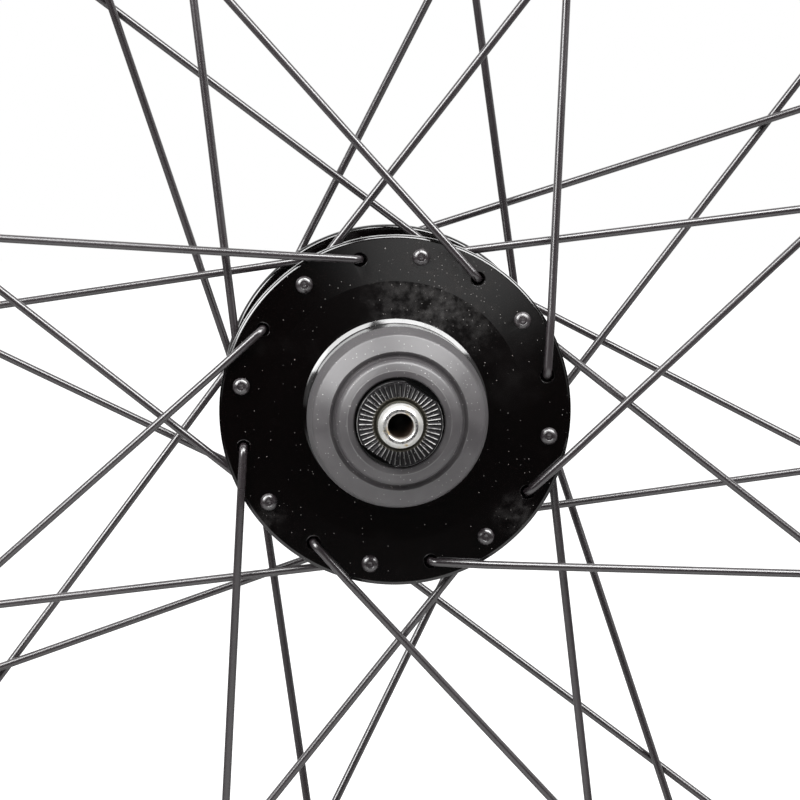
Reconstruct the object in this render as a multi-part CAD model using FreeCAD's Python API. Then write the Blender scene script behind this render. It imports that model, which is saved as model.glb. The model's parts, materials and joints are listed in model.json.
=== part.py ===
import FreeCAD, Part
import math
import os

# Dynamo front wheel, millimetres. The wheel centre is the origin, the axle lies along Y and +Z is up.
# The left side, at -Y, is the plain side that faces the viewer. The right side, at +Y, has the connector.
# A depth is a distance from the wheel's mid plane, so it is positive on both sides.
# Angles run counter-clockwise as that viewer sees them, from +X towards +Z.

# Driving sizes: axle and locknuts
axle_length = 108.0
axle_end_length = 4.0
axle_radius = 5.0
axle_end_radius = 4.75
axle_bore_radius = 2.7
axle_body_radius = 6.2
axle_tip_radius = 3.7
axle_taper_length = 2.5
axle_bore_chamfer = 0.4
axle_shoulder_space = 2.0
nut_radius = 9.05
nut_flats = 16.0
nut_thickness = 5.5
nut_bevel = 0.4
nut_countersink = 0.85
nut_flat_angle = 56.3
nut_teeth = 48
nut_tooth_depth = 0.4
nut_tooth_inner_radius = 5.9
nut_notch_share = 0.8
nut_notch_start = 0.4

# Driving sizes: hub shell and cover
hole_circle_radius = 34.0
flange_rim = 4.4
flange_thickness = 3.0
flange_edge_chamfer = 0.6
face_step_inset = 5.6
face_step_depth = 0.3
boss_radius = 19.0
boss_edge_chamfer = 0.5
boss_root_width = 1.05
boss_root_height = 0.9
drum_wall = 2.5
drum_head_space = 2.05
left_cup_floor = 5.5
right_cup_floor = 2.0
cover_spigot_length = 3.0
cover_spigot_wall = 2.0

# Driving sizes: bearings
ball_radius = 2.38
ball_count = 9
ball_circle_radius = 9.2
cup_radius = 14.5
cup_mouth_radius = 12.4
cup_throat_space = 2.0
cup_half_width = 4.0
cup_recess = 0.5
race_lip = 0.7
cone_collar_rise = 1.0
cone_collar_width = 1.2
cone_collar_taper = 0.8
cone_nose_length = 0.5
cone_body_radius = 7.5
cage_finger_width = 1.1
cage_finger_overlap = 0.3
cage_ring_width = 1.0

# Driving sizes: rubber boot on the left, seal and connector on the right
boot_length = 9.1
boot_wall = 2.0
boot_rim_overhang = 0.65
boot_rim_width = 0.6
boot_face_inset = 1.1
boot_skirt_length = 6.3
boot_edge_bevel = 0.4
boot_groove_outer = 14.75
boot_groove_inner = 13.1
boot_groove_slope = 0.35
boot_groove_depth = 1.4
boot_face_rise = 2.0
boot_lip_inset = 3.0
boot_lip_space = 0.3
boot_lip_width = 1.7
boot_ring_drop = 1.0
seal_thickness = 1.1
seal_inset = 1.4
seal_lip_width = 0.9
seal_lip_length = 0.5
seal_lip_space = 0.6
block_length = 7.0
block_radius = 13.0
block_tower_width = 19.0
block_tower_top = 24.0
block_tower_rounding = 2.5
terminal_spacing = 8.0
terminal_width = 2.4
terminal_thickness = 0.8
terminal_length = 8.5
terminal_sunk = 1.5
terminal_pocket = 3.6
terminal_pocket_depth = 7.0

# Driving sizes: spokes, nipples and lacing
spokes_per_side = 16
spoke_crossings = 3
spoke_radius = 0.9
spoke_hole_space = 0.4
spoke_hole_chamfer = 0.5
spoke_bend_radius = 2.0
spoke_edge_bend = 25.0
spoke_cross_bend = 150.0
spoke_head_radius = 1.9
spoke_head_height = 1.2
spoke_head_rim = 0.45
spoke_head_crown = 0.25
first_hole_angle = 13.07
nipple_radius = 1.95
nipple_flats = 3.3
nipple_length = 12.0
nipple_head_radius = 3.0
nipple_head_top_radius = 2.1
nipple_head_height = 2.6
nipple_round_length = 5.5

# Driving sizes: rim section
bead_seat_radius = 311.0
bead_flange_height = 6.0
bead_hook = 0.9
bead_hook_height = 1.6
rim_height = 20.0
rim_width = 24.0
rim_inside_width = 19.6
rim_bed_width = 15.0
rim_wall = 1.8
rim_bed_wall = 2.0
rim_bridge_wall = 1.5
rim_edge_bevel = 0.6
rim_well_depth = 4.5
rim_well_width = 12.0
rim_shoulder_drop = 1.0
rim_shoulder_slope = 1.5
brake_track_height = 13.0
nipple_hole_space = 0.5
nipple_access_space = 1.3
valve_hole_radius = 3.25
valve_quarter = 3
tape_thickness = 0.6
tape_side_space = 0.1
tape_hole_space = 0.8

# Driving sizes: generator inside the drum
coil_width = 14.0
claw_disc_thickness = 3.0
claw_fingers = 14
claw_finger_angle = 9.4
claw_finger_thickness = 1.9
claw_finger_overlap = 2.0
claw_disc_inset = 0.8
claw_vent_radius = 1.6
claw_vents = 4
core_wall = 3.0
core_neck_wall = 1.4
core_neck_length = 4.0
bobbin_inset = 1.0
bobbin_wall = 1.0
winding_inset = 0.5
yoke_thickness = 2.0
yoke_overhang = 1.0
magnet_thickness = 3.0
magnet_overhang = 2.0
magnet_count = 4
magnet_gap_angle = 0.8
lead_radius = 0.55
lead_bend_radius = 3.0
lead_rise_radius = 2.4
lead_run_to_bend = 3.6
lead_slope_length = 4.4
lead_turn_height = 3.0

# Clearances
assembled_gap = 0.02
running_gap = 0.4
ball_gap = 0.12
air_gap = 0.4
lead_space = 0.1
touch_space = 0.1
cut_past = 1.0

# Places along the axle, from the locknuts inwards
nut_outer_depth = axle_length / 2 - axle_end_length
nut_inner_depth = nut_outer_depth - nut_thickness
cup_width = 2 * cup_half_width
left_boss_end = nut_inner_depth - boot_length - running_gap
left_ball_depth = left_boss_end - cup_recess - cup_half_width
left_inner_face = left_boss_end - cup_recess - cup_width - left_cup_floor
left_outer_face = left_inner_face + flange_thickness
block_start = nut_inner_depth - block_length
right_boss_end = block_start - seal_thickness - running_gap
right_ball_depth = right_boss_end - cup_recess - cup_half_width
right_inner_face = right_boss_end - cup_recess - cup_width - right_cup_floor
right_outer_face = right_inner_face + flange_thickness
generator_depth = (right_inner_face - cover_spigot_length - left_inner_face) / 2

# Radii of the hub and the generator, from the spoke holes inwards
flange_radius = hole_circle_radius + flange_rim
drum_radius = hole_circle_radius - spoke_head_radius - drum_head_space
drum_bore_radius = drum_radius - drum_wall
magnet_outer_radius = drum_bore_radius - yoke_thickness - 2 * assembled_gap
stator_radius = magnet_outer_radius - magnet_thickness - air_gap
claw_finger_inside = stator_radius - claw_finger_thickness
claw_disc_radius = claw_finger_inside - claw_disc_inset
bobbin_radius = claw_finger_inside - bobbin_inset
winding_radius = bobbin_radius - winding_inset
core_radius = axle_body_radius + core_wall
core_neck_radius = axle_body_radius + core_neck_wall
race_radius = ball_radius + ball_gap
cone_nose_radius = ball_circle_radius - race_radius - race_lip
cone_collar_radius = ball_circle_radius + cone_collar_rise

# Rim, spokes and lead
rim_outer_radius = bead_seat_radius + bead_flange_height
rim_inner_radius = rim_outer_radius - rim_height
rim_well_radius = bead_seat_radius - rim_well_depth
nipple_seat_radius = rim_inner_radius + rim_bed_wall
spoke_hole_radius = spoke_radius + spoke_hole_space
spoke_lay = spoke_radius + touch_space
hole_step = 360.0 / spokes_per_side
rim_step = hole_step / 2
lacing_turn = spoke_crossings * hole_step
right_first_angle = first_hole_angle - rim_step
valve_angle = first_hole_angle - rim_step / 2 + 90.0 * valve_quarter
lead_groove_width = 2 * lead_radius + 4 * lead_space
lead_groove_depth = 2 * lead_radius + 2.5 * lead_space
lead_height = axle_radius - lead_groove_depth + lead_radius + lead_space
coil_end = generator_depth + coil_width / 2
lead_start_height = (core_radius + bobbin_wall + winding_radius) / 2
terminal_depth = nut_inner_depth - block_length / 2
terminal_foot = block_tower_top - terminal_length - terminal_sunk


def vec(x, y, z):
    return FreeCAD.Vector(x, y, z)


axle_way = vec(0, 1, 0)
centre_point = vec(0, 0, 0)


def outward(solid):
    if solid.Volume < 0:
        solid.reverse()
    return solid


def face_of(points):
    return Part.Face(Part.makePolygon(points + points[:1]))


def turned(points, side=1):
    """Solid of revolution about the axle from (radius, depth) points."""
    corners = [vec(radius, side * depth, 0) for radius, depth in points]
    return outward(face_of(corners).revolve(centre_point, axle_way, 360))


def tube(inner, outer, start, end, side=1):
    return turned([(inner, start), (outer, start), (outer, end), (inner, end)], side)


def rod(radius, start, end):
    """Round bar from one point to another."""
    return Part.makeCylinder(radius, (end - start).Length, start, end - start)


def around(shape, angle):
    """Copy of a shape turned about the axle by an angle."""
    copy = shape.copy()
    copy.rotate(centre_point, axle_way, -angle)
    return copy


def repeated(shape, count, first=0.0):
    """Evenly spaced copies of a shape round the axle."""
    return [around(shape, first + index * 360.0 / count) for index in range(count)]


def polar(radius, angle, place):
    """Point at a radius, an angle and a signed place along the axle."""
    turn = math.radians(angle)
    return vec(radius * math.cos(turn), place, radius * math.sin(turn))


def sector(inner, outer, start, end, angle):
    """Ring sector centred on +X, between two signed places along the axle."""
    face = face_of([vec(inner, start, 0), vec(outer, start, 0), vec(outer, end, 0), vec(inner, end, 0)])
    face.rotate(centre_point, axle_way, angle / 2)
    return outward(face.revolve(centre_point, axle_way, -angle))


def smooth_path(points, radii):
    """Wire of straight runs joined by tangent arcs, with one radius for each inner point."""
    edges = []
    start = points[0]
    for before, corner, after, radius in zip(points, points[1:], points[2:], radii):
        back = (before - corner).normalize()
        ahead = (after - corner).normalize()
        half_turn = (math.pi - back.getAngle(ahead)) / 2
        reach = radius * math.tan(half_turn)
        first = corner + back * reach
        last = corner + ahead * reach
        middle = corner + (back + ahead).normalize() * (radius / math.cos(half_turn) - radius)
        edges.append(Part.LineSegment(start, first).toShape())
        edges.append(Part.Arc(first, middle, last).toShape())
        start = last
    edges.append(Part.LineSegment(start, points[-1]).toShape())
    return Part.Wire(edges)


def wire_solid(points, radii, radius):
    """Round wire along a smooth path."""
    profile = Part.Wire(Part.makeCircle(radius, points[0], points[1] - points[0]))
    return outward(smooth_path(points, radii).makePipeShell([profile], True, False))


def axle():
    """Hollow axle with a thicker middle, turned-down ends and a groove for the lead on its right half."""
    tip = axle_length / 2
    shoulder = tip - axle_taper_length
    mouth = axle_bore_radius + axle_bore_chamfer
    left = cone_nose_depth(left_ball_depth) - axle_shoulder_space
    right = cone_nose_depth(right_ball_depth) - axle_shoulder_space
    thread_end = nut_outer_depth + axle_radius - axle_end_radius
    profile = [(axle_bore_radius, axle_bore_chamfer - tip), (mouth, -tip), (axle_tip_radius, -tip)]
    profile += [(axle_end_radius, -shoulder), (axle_end_radius, -thread_end), (axle_radius, -nut_outer_depth)]
    profile += [(axle_radius, -left), (axle_body_radius, -left)]
    profile += [(axle_body_radius, right), (axle_radius, right)]
    profile += [(axle_radius, nut_outer_depth), (axle_end_radius, thread_end), (axle_end_radius, shoulder)]
    profile += [(axle_tip_radius, tip), (mouth, tip), (axle_bore_radius, tip - axle_bore_chamfer)]
    start = coil_end + claw_disc_thickness
    length = terminal_depth + lead_groove_width - start
    corner = vec(-lead_groove_width / 2, start, axle_radius - lead_groove_depth)
    groove = Part.makeBox(lead_groove_width, length, axle_body_radius, corner)
    return turned(profile).cut(groove)


def race_cutter(ball_depth, side):
    """Ring-shaped space that the balls roll in."""
    return Part.makeTorus(ball_circle_radius, race_radius, vec(0, side * ball_depth, 0), axle_way)


def cone_nose_depth(ball_depth):
    return ball_depth - race_radius - cone_nose_length


def cone(ball_depth, outer_end, side):
    """Inner race: it screws on the axle and bears on the balls from outside."""
    nose = cone_nose_depth(ball_depth)
    collar = ball_depth + race_radius - cone_collar_width / 2
    bore = axle_radius + assembled_gap
    profile = [(bore, nose), (cone_nose_radius, nose), (cone_collar_radius, collar)]
    profile += [(cone_collar_radius, collar + cone_collar_width)]
    profile += [(cone_body_radius, collar + cone_collar_width + cone_collar_taper)]
    profile += [(cone_body_radius, outer_end), (bore, outer_end)]
    return turned(profile, side).cut(race_cutter(ball_depth, side))


def bearing_cup(ball_depth, side):
    """Outer race: it is pressed into the hub's boss and opens outwards."""
    back = ball_depth - cup_half_width
    front = ball_depth + cup_half_width
    throat = cone_nose_radius + cup_throat_space
    profile = [(throat, back), (cup_radius, back), (cup_radius, front), (cup_mouth_radius, front)]
    profile += [(cup_mouth_radius, ball_depth + race_lip), (ball_circle_radius + ball_radius, ball_depth)]
    profile += [(ball_circle_radius, ball_depth - ball_radius / 2), (throat, ball_depth - ball_radius)]
    return turned(profile, side).cut(race_cutter(ball_depth, side))


def balls(ball_depth, side):
    ball = Part.makeSphere(ball_radius, vec(ball_circle_radius, side * ball_depth, 0))
    return Part.makeCompound(repeated(ball, ball_count))


def ball_cage(ball_depth, side):
    """Retainer: a ring outside the balls with one finger between each pair."""
    outer = cup_mouth_radius - running_gap
    inner = outer - cage_ring_width
    across = inner - ball_circle_radius
    start = math.sqrt(max(race_radius ** 2 - across ** 2, 0.0))
    end = start + cage_ring_width
    ring = tube(inner, outer, ball_depth + start, ball_depth + end, side)
    reach = ball_circle_radius - 2 * touch_space
    tip = outer - 2 * touch_space
    depth = end - running_gap
    foot = -cage_finger_overlap
    corners = [(reach, foot), (inner - touch_space, foot), (tip, start / 2), (tip, depth)]
    corners += [(cone_collar_radius + 2 * touch_space, depth), (reach, start - 2 * touch_space)]
    points = [vec(radius, side * (ball_depth + offset), -cage_finger_width / 2) for radius, offset in corners]
    finger = outward(face_of(points).extrude(vec(0, 0, cage_finger_width)))
    return ring.fuse(repeated(finger, ball_count, 180.0 / ball_count))


def tooth_notch(side):
    """Cutter for one radial notch that widens and deepens outwards."""
    face = side * nut_outer_depth
    top = face + side * touch_space
    half = nut_radius * math.tan(math.radians(180.0 / nut_teeth)) * nut_notch_share
    sections = []
    for radius, share in ((nut_tooth_inner_radius, nut_notch_start), (nut_radius + cut_past, 1.0)):
        floor = face - side * nut_tooth_depth * share
        corners = [vec(radius, top, -half * share), vec(radius, top, half * share), vec(radius, floor, 0)]
        sections.append(Part.makePolygon(corners + corners[:1]))
    return outward(Part.makeLoft(sections, True, True))


def locknut(side):
    """Round nut with two wrench flats and a ring of radial teeth on its outer face."""
    bore = axle_radius + assembled_gap
    profile = [(bore, nut_inner_depth), (nut_radius, nut_inner_depth)]
    profile += [(nut_radius, nut_outer_depth - nut_bevel), (nut_radius - nut_bevel, nut_outer_depth)]
    profile += [(bore + nut_countersink, nut_outer_depth)]
    profile += [(bore, nut_outer_depth - nut_countersink)]
    start = min(side * nut_inner_depth, side * nut_outer_depth) - cut_past
    corner = vec(nut_flats / 2, start, -2 * nut_radius)
    slab = Part.makeBox(nut_radius, nut_thickness + 2 * cut_past, 4 * nut_radius, corner)
    cuts = repeated(slab, 2, nut_flat_angle) + repeated(tooth_notch(side), nut_teeth)
    return turned(profile, side).cut(cuts)


def left_seal_boot():
    """Rubber cap on the left cone, with a stepped front round the locknut."""
    bore = cone_body_radius + assembled_gap
    seat = nut_inner_depth - assembled_gap
    skirt = left_boss_end + running_gap
    face = skirt + boot_skirt_length
    tip = nut_outer_depth - boot_lip_inset
    lip = nut_radius + boot_lip_space
    rim = boss_radius + boot_rim_overhang
    shoulder = rim - boot_face_inset
    top = face + boot_face_rise
    front = [(lip, seat), (lip, tip), (lip + boot_lip_width, tip), (boot_groove_inner, tip - boot_ring_drop)]
    front += [(boot_groove_inner + boot_groove_slope, top - boot_groove_depth)]
    front += [(boot_groove_outer - boot_groove_slope, top - boot_groove_depth), (boot_groove_outer, top)]
    front += [(shoulder - boot_edge_bevel, face + boot_edge_bevel / 2), (shoulder, face - boot_edge_bevel)]
    front += [(rim, skirt + boot_rim_width), (rim - 2 * touch_space, skirt)]
    hollow = face - boot_wall
    inside = [(rim - boot_wall, skirt), (shoulder - boot_wall, hollow), (bore + boot_wall, hollow)]
    inside += [(bore + boot_wall, skirt + running_gap), (bore, skirt + running_gap), (bore, seat)]
    return turned(front + inside, -1)


def right_seal_cap():
    """Flat seal on the right cone, with a lip inside the boss."""
    bore = cone_body_radius + assembled_gap
    inner = right_boss_end + running_gap
    disc = tube(bore, boss_radius - seal_inset, inner, block_start - assembled_gap)
    outer = cup_radius - seal_lip_space
    return disc.fuse(tube(outer - seal_lip_width, outer, inner - seal_lip_length, inner + touch_space))


def terminal(across, gap):
    """Blade that stands in its pocket, with its foot held in the housing."""
    width = terminal_width + 2 * gap
    thickness = terminal_thickness + 2 * gap
    corner = vec(across - width / 2, terminal_depth - thickness / 2, terminal_foot - gap)
    return Part.makeBox(width, thickness, terminal_length + 2 * gap, corner)


def connector_terminals():
    return Part.makeCompound([terminal(-terminal_spacing / 2, 0), terminal(terminal_spacing / 2, 0)])


def connector_block():
    """Plastic housing round the axle, with a tower that holds the two terminals."""
    bore = axle_radius + assembled_gap
    depth = block_length - assembled_gap
    body = tube(bore, block_radius, block_start, block_start + depth)
    corner = vec(-block_tower_width / 2, block_start, 0)
    tower = Part.makeBox(block_tower_width, depth, block_tower_top, corner)
    uprights = [edge for edge in tower.Edges if edge.BoundBox.ZMin > block_tower_top - touch_space
                and edge.BoundBox.YLength > depth / 2]
    tower = tower.makeFillet(block_tower_rounding, uprights)
    hole = rod(bore, vec(0, block_start - cut_past, 0), vec(0, nut_inner_depth + cut_past, 0))
    cuts = [hole, lead_channel()]
    for across in (-terminal_spacing / 2, terminal_spacing / 2):
        corner = vec(across - terminal_pocket / 2, terminal_depth - terminal_pocket / 2,
                     block_tower_top - terminal_pocket_depth)
        cuts.append(Part.makeBox(terminal_pocket, terminal_pocket, terminal_pocket_depth + cut_past, corner))
        cuts.append(terminal(across, assembled_gap))
    return body.fuse(tower).cut(cuts)


def lead_wire():
    """Lead from the coil down into the axle's groove, along it, and up to one terminal."""
    drop = coil_end + claw_disc_thickness + lead_run_to_bend
    points = [vec(0, coil_end - bobbin_wall + lead_space, lead_start_height)]
    points += [vec(0, drop, lead_start_height), vec(0, drop + lead_slope_length, lead_height)]
    points += [vec(0, terminal_depth, lead_height), vec(0, terminal_depth, terminal_foot - lead_turn_height)]
    points += [vec(terminal_spacing / 2, terminal_depth, terminal_foot - lead_radius)]
    bends = [lead_bend_radius, lead_bend_radius, lead_rise_radius, lead_rise_radius / 2]
    return wire_solid(points, bends, lead_radius)


def lead_channel():
    """Space for the lead's rising end inside the connector housing."""
    edge = lead_radius + 4 * lead_space
    corner = vec(-edge, terminal_depth - lead_bend_radius, 0)
    width = edge + terminal_spacing / 2 + 2 * edge
    return Part.makeBox(width, lead_bend_radius + edge, terminal_foot, corner)


def coil_bobbin():
    start = coil_end - coil_width + assembled_gap
    end = coil_end - assembled_gap
    bore = core_radius + assembled_gap
    hub = core_radius + bobbin_wall
    profile = [(bore, start), (bobbin_radius, start), (bobbin_radius, start + bobbin_wall)]
    profile += [(hub, start + bobbin_wall), (hub, end - bobbin_wall), (bobbin_radius, end - bobbin_wall)]
    profile += [(bobbin_radius, end), (bore, end)]
    exit_hole = rod(lead_radius + lead_space, vec(0, end - bobbin_wall - lead_space, lead_start_height),
                    vec(0, end + lead_space, lead_start_height))
    return turned(profile).cut(exit_hole)


def coil_winding():
    """Wound copper, taken as one solid ring inside the bobbin."""
    margin = bobbin_wall + 2 * assembled_gap
    start = coil_end - coil_width + margin
    return tube(core_radius + margin, winding_radius, start, coil_end - margin)


def claw_pole(side):
    """Iron disc whose fingers reach over the coil towards the other disc."""
    near = generator_depth + side * coil_width / 2
    far = near + side * claw_disc_thickness
    tip = generator_depth - side * (coil_width / 2 + claw_finger_overlap)
    start = min(near, far)
    disc = tube(core_neck_radius + assembled_gap, claw_disc_radius, start, start + claw_disc_thickness)
    arm = sector(claw_disc_radius - claw_disc_inset, stator_radius, near, far, claw_finger_angle)
    finger = sector(claw_finger_inside, stator_radius, tip, far, claw_finger_angle)
    first = 90.0 - side * 90.0 / claw_fingers
    arms = repeated(arm, claw_fingers, first) + repeated(finger, claw_fingers, first)
    vent = rod(claw_vent_radius, vec(lead_start_height, start - cut_past, 0),
               vec(lead_start_height, start + claw_disc_thickness + cut_past, 0))
    return disc.fuse(arms).removeSplitter().cut(repeated(vent, claw_vents, 90.0))


def stator_core():
    """Iron sleeve on the axle that carries the coil and both claw discs."""
    bore = axle_body_radius + assembled_gap
    half = coil_width / 2 - assembled_gap
    neck = half + core_neck_length
    profile = [(bore, -neck), (core_neck_radius, -neck), (core_neck_radius, -half), (core_radius, -half)]
    profile += [(core_radius, half), (core_neck_radius, half), (core_neck_radius, neck), (bore, neck)]
    sleeve = turned([(radius, place + generator_depth) for radius, place in profile])
    corner = vec(-lead_groove_width / 2, coil_end + claw_disc_thickness, 0)
    return sleeve.cut(Part.makeBox(lead_groove_width, core_neck_length, core_radius, corner))


def magnet_yoke():
    """Iron ring inside the drum that closes the magnets' field."""
    half = coil_width / 2 + claw_disc_thickness + magnet_overhang + yoke_overhang
    outer = drum_bore_radius - assembled_gap
    return tube(outer - yoke_thickness, outer, generator_depth - half, generator_depth + half)


def magnet_segments():
    half = coil_width / 2 + claw_disc_thickness + magnet_overhang
    inner = magnet_outer_radius - magnet_thickness
    angle = 360.0 / magnet_count - magnet_gap_angle
    segment = sector(inner, magnet_outer_radius, generator_depth - half, generator_depth + half, angle)
    return Part.makeCompound(repeated(segment, magnet_count, 180.0 / magnet_count))


def flange_holes(inner, outer, side, first_angle):
    """Cutters for one flange's spoke holes, countersunk on both faces."""
    wide = spoke_hole_radius + spoke_hole_chamfer
    points = [(0, inner - cut_past), (wide + cut_past, inner - cut_past), (wide, inner)]
    points += [(spoke_hole_radius, inner + spoke_hole_chamfer)]
    points += [(spoke_hole_radius, outer - spoke_hole_chamfer), (wide, outer)]
    points += [(wide + cut_past, outer + cut_past), (0, outer + cut_past)]
    cutter = turned(points, side)
    cutter.translate(vec(hole_circle_radius, 0, 0))
    return repeated(cutter, spokes_per_side, first_angle)


def flange_profile(inner, outer, ball_depth, boss_end):
    """Half section of a flange and its boss, from the bearing's seat round to the flange's back."""
    throat = cone_nose_radius + cup_throat_space
    bore = cup_radius + assembled_gap
    seat = ball_depth - cup_half_width - assembled_gap
    floor = outer - face_step_depth
    step = hole_circle_radius - face_step_inset
    edge = flange_edge_chamfer
    points = [(throat, inner), (throat, seat), (bore, seat), (bore, boss_end)]
    points += [(boss_radius - boss_edge_chamfer, boss_end), (boss_radius, boss_end - boss_edge_chamfer)]
    points += [(boss_radius, floor + boss_root_height), (boss_radius + boss_root_width, floor)]
    points += [(step, floor), (step + face_step_depth, outer)]
    points += [(flange_radius - edge, outer), (flange_radius, outer - edge)]
    return points + [(flange_radius, inner + edge), (flange_radius - edge, inner)]


def hub_shell():
    """Left flange, its boss and the generator drum in one piece."""
    drum_end = assembled_gap - right_inner_face
    points = flange_profile(left_inner_face, left_outer_face, left_ball_depth, left_boss_end)
    points += [(drum_radius, left_inner_face), (drum_radius, drum_end)]
    points += [(drum_bore_radius, drum_end), (drum_bore_radius, left_inner_face)]
    body = turned(points, -1)
    return body.cut(flange_holes(left_inner_face, left_outer_face, -1, first_hole_angle))


def hub_cover():
    """Right flange and boss, with a spigot that closes the drum."""
    spigot = right_inner_face - cover_spigot_length
    radius = drum_bore_radius - assembled_gap
    points = flange_profile(right_inner_face, right_outer_face, right_ball_depth, right_boss_end)
    points += [(radius, right_inner_face), (radius, spigot), (radius - cover_spigot_wall, spigot)]
    points += [(radius - cover_spigot_wall, right_inner_face)]
    body = turned(points)
    return body.cut(flange_holes(right_inner_face, right_outer_face, 1, right_first_angle))


def lacing(side, index):
    """Angle of one spoke's hole, angle of its rim end, and whether it leaves by the flange's outer face.

    Even spokes leave by the outer face and odd spokes by the inner face, and they lean opposite ways.
    """
    first = first_hole_angle if side < 0 else right_first_angle
    hole_angle = first + index * hole_step
    leaves_outside = index % 2 == 0
    lean = lacing_turn if leaves_outside == (side < 0) else -lacing_turn
    return hole_angle, hole_angle + lean, leaves_outside


def crossing_share():
    """How far along a spoke its last crossing lies, from 0 at the hub to 1 at the rim."""
    turn = math.radians(lacing_turn)
    along = nipple_seat_radius * math.cos(turn) - hole_circle_radius
    across = nipple_seat_radius * math.sin(turn)
    slope = math.tan(math.radians((spoke_crossings - 0.5) * hole_step))
    return hole_circle_radius * slope / (across - along * slope)


def edge_share():
    """How far along a spoke the flange's edge lies."""
    turn = math.radians(lacing_turn)
    along = nipple_seat_radius * math.cos(turn) - hole_circle_radius
    across = nipple_seat_radius * math.sin(turn)
    length = math.hypot(along, across)
    half = hole_circle_radius * along / length
    reach = math.sqrt(half ** 2 + (flange_radius + spoke_radius) ** 2 - hole_circle_radius ** 2) - half
    return reach / length


def spoke_points(side, index):
    """Corners of a spoke's centre line: head, elbow, flange edge if it passes there, crossing, rim end."""
    hole_angle, rim_angle, leaves_outside = lacing(side, index)
    inner, outer = (left_inner_face, left_outer_face) if side < 0 else (right_inner_face, right_outer_face)
    head_depth, elbow_depth = (inner, outer + spoke_lay) if leaves_outside else (outer, inner - spoke_lay)
    head = polar(hole_circle_radius, hole_angle, side * head_depth)
    elbow = polar(hole_circle_radius, hole_angle, side * elbow_depth)
    end = polar(nipple_seat_radius, rim_angle, 0)
    share = crossing_share()
    crossing = elbow + (end - elbow) * share
    pair_depth = (inner + outer) / 2 * (1 - share)
    crossing.y = side * (pair_depth - spoke_lay if leaves_outside else pair_depth + spoke_lay)
    if not leaves_outside:
        return [head, elbow, crossing, end]
    edge = elbow + (end - elbow) * edge_share()
    edge.y = elbow.y
    return [head, elbow, edge, crossing, end]


def spoke(side, index):
    """Spoke wire with its head, its elbow at the flange and its slight bend at the last crossing."""
    points = spoke_points(side, index)
    bends = [spoke_bend_radius, spoke_edge_bend, spoke_cross_bend]
    if len(points) == 4:
        bends = [spoke_bend_radius, spoke_cross_bend]
    wire = wire_solid(points, bends, spoke_radius)
    head_side = 1 if points[1].y > points[0].y else -1
    profile = [(0, spoke_hole_chamfer), (spoke_radius, spoke_hole_chamfer)]
    profile += [(spoke_radius + spoke_hole_chamfer - touch_space / 2, 0), (spoke_head_radius, 0)]
    profile += [(spoke_head_radius, -spoke_head_rim)]
    profile += [(spoke_head_radius - spoke_head_rim, spoke_head_crown - spoke_head_height)]
    profile += [(spoke_head_radius - 3 * spoke_head_rim + spoke_head_crown, -spoke_head_height)]
    profile += [(0, -spoke_head_height)]
    head = turned(profile, head_side)
    head.translate(points[0])
    return wire.fuse(head)


def nipple(side, index):
    """Threaded sleeve: a round head behind the rim's bed and a squared shank below it."""
    crossing, end = spoke_points(side, index)[-2:]
    heading = (end - crossing).normalize()
    tilt = heading.getAngle(vec(end.x, 0, end.z))
    lift = nipple_head_radius * math.tan(tilt) + touch_space / 2
    seat = end + heading * lift
    foot = seat - heading * nipple_length
    shank = rod(nipple_radius, foot, seat + heading * touch_space)
    head = Part.makeCone(nipple_head_radius, nipple_head_top_radius, nipple_head_height, seat, heading)
    bore = rod(spoke_radius + assembled_gap, foot - heading * cut_past, end + heading * touch_space)
    flat_end = seat - heading * nipple_round_length
    cuts = [bore]
    across = heading.cross(axle_way).normalize()
    for way in (across, across * -1, heading.cross(across), heading.cross(across) * -1):
        width = way.cross(heading) * nipple_radius
        near = foot - heading * cut_past + way * (nipple_flats / 2)
        far = flat_end + way * (nipple_flats / 2)
        corners = [near + width, near - width, far - width, far + width]
        cuts.append(face_of(corners).extrude(way * nipple_radius))
    return shank.fuse(head).cut(cuts)


def nipples():
    both = [(side, index) for side in (-1, 1) for index in range(spokes_per_side)]
    return Part.makeCompound([nipple(side, index) for side, index in both])


def mirrored_section(points):
    return points + [(radius, -depth) for radius, depth in reversed(points)]


def rim():
    """Double-walled rim with machined brake tracks, nipple holes and a valve hole."""
    half = rim_width / 2
    inside = rim_inside_width / 2
    bed = rim_bed_width / 2
    well = rim_well_width / 2
    top = rim_outer_radius
    bevel = rim_edge_bevel
    track = top - brake_track_height
    shoulder = bead_seat_radius - rim_shoulder_drop
    hook = inside - bead_hook
    skin = [(rim_inner_radius, bed), (track, half), (top - bevel, half), (top, half - bevel)]
    skin += [(top, hook + bevel), (top - bevel, hook), (top - bead_hook_height, hook)]
    skin += [(top - bead_hook_height - bevel, inside)]
    skin += [(shoulder, inside), (shoulder, well + rim_shoulder_slope), (rim_well_radius, well)]
    bridge = rim_well_radius - rim_bridge_wall
    ledge = shoulder - rim_bridge_wall
    cell = [(nipple_seat_radius, bed - bevel), (track, half - rim_wall - bevel), (ledge, half - rim_wall)]
    cell += [(ledge, well + rim_wall), (bridge, well + bevel / 2)]
    body = turned(mirrored_section(skin)).cut(turned(mirrored_section(cell)))
    out = vec(1, 0, 0)
    low = rim_inner_radius - cut_past
    high = rim_well_radius + cut_past
    access = rod(nipple_head_radius + nipple_access_space, out * (bridge - bevel), out * high)
    cuts = repeated(access, 2 * spokes_per_side, first_hole_angle)
    for side in (-1, 1):
        for index in range(spokes_per_side):
            crossing, end = spoke_points(side, index)[-2:]
            heading = (end - crossing).normalize()
            cuts.append(rod(nipple_radius + nipple_hole_space, end - heading * (rim_bed_wall + 3 * cut_past),
                            end + heading * 2 * cut_past))
    cuts += repeated(rod(valve_hole_radius, out * low, out * high), 1, valve_angle)
    return body.cut(cuts)


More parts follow.
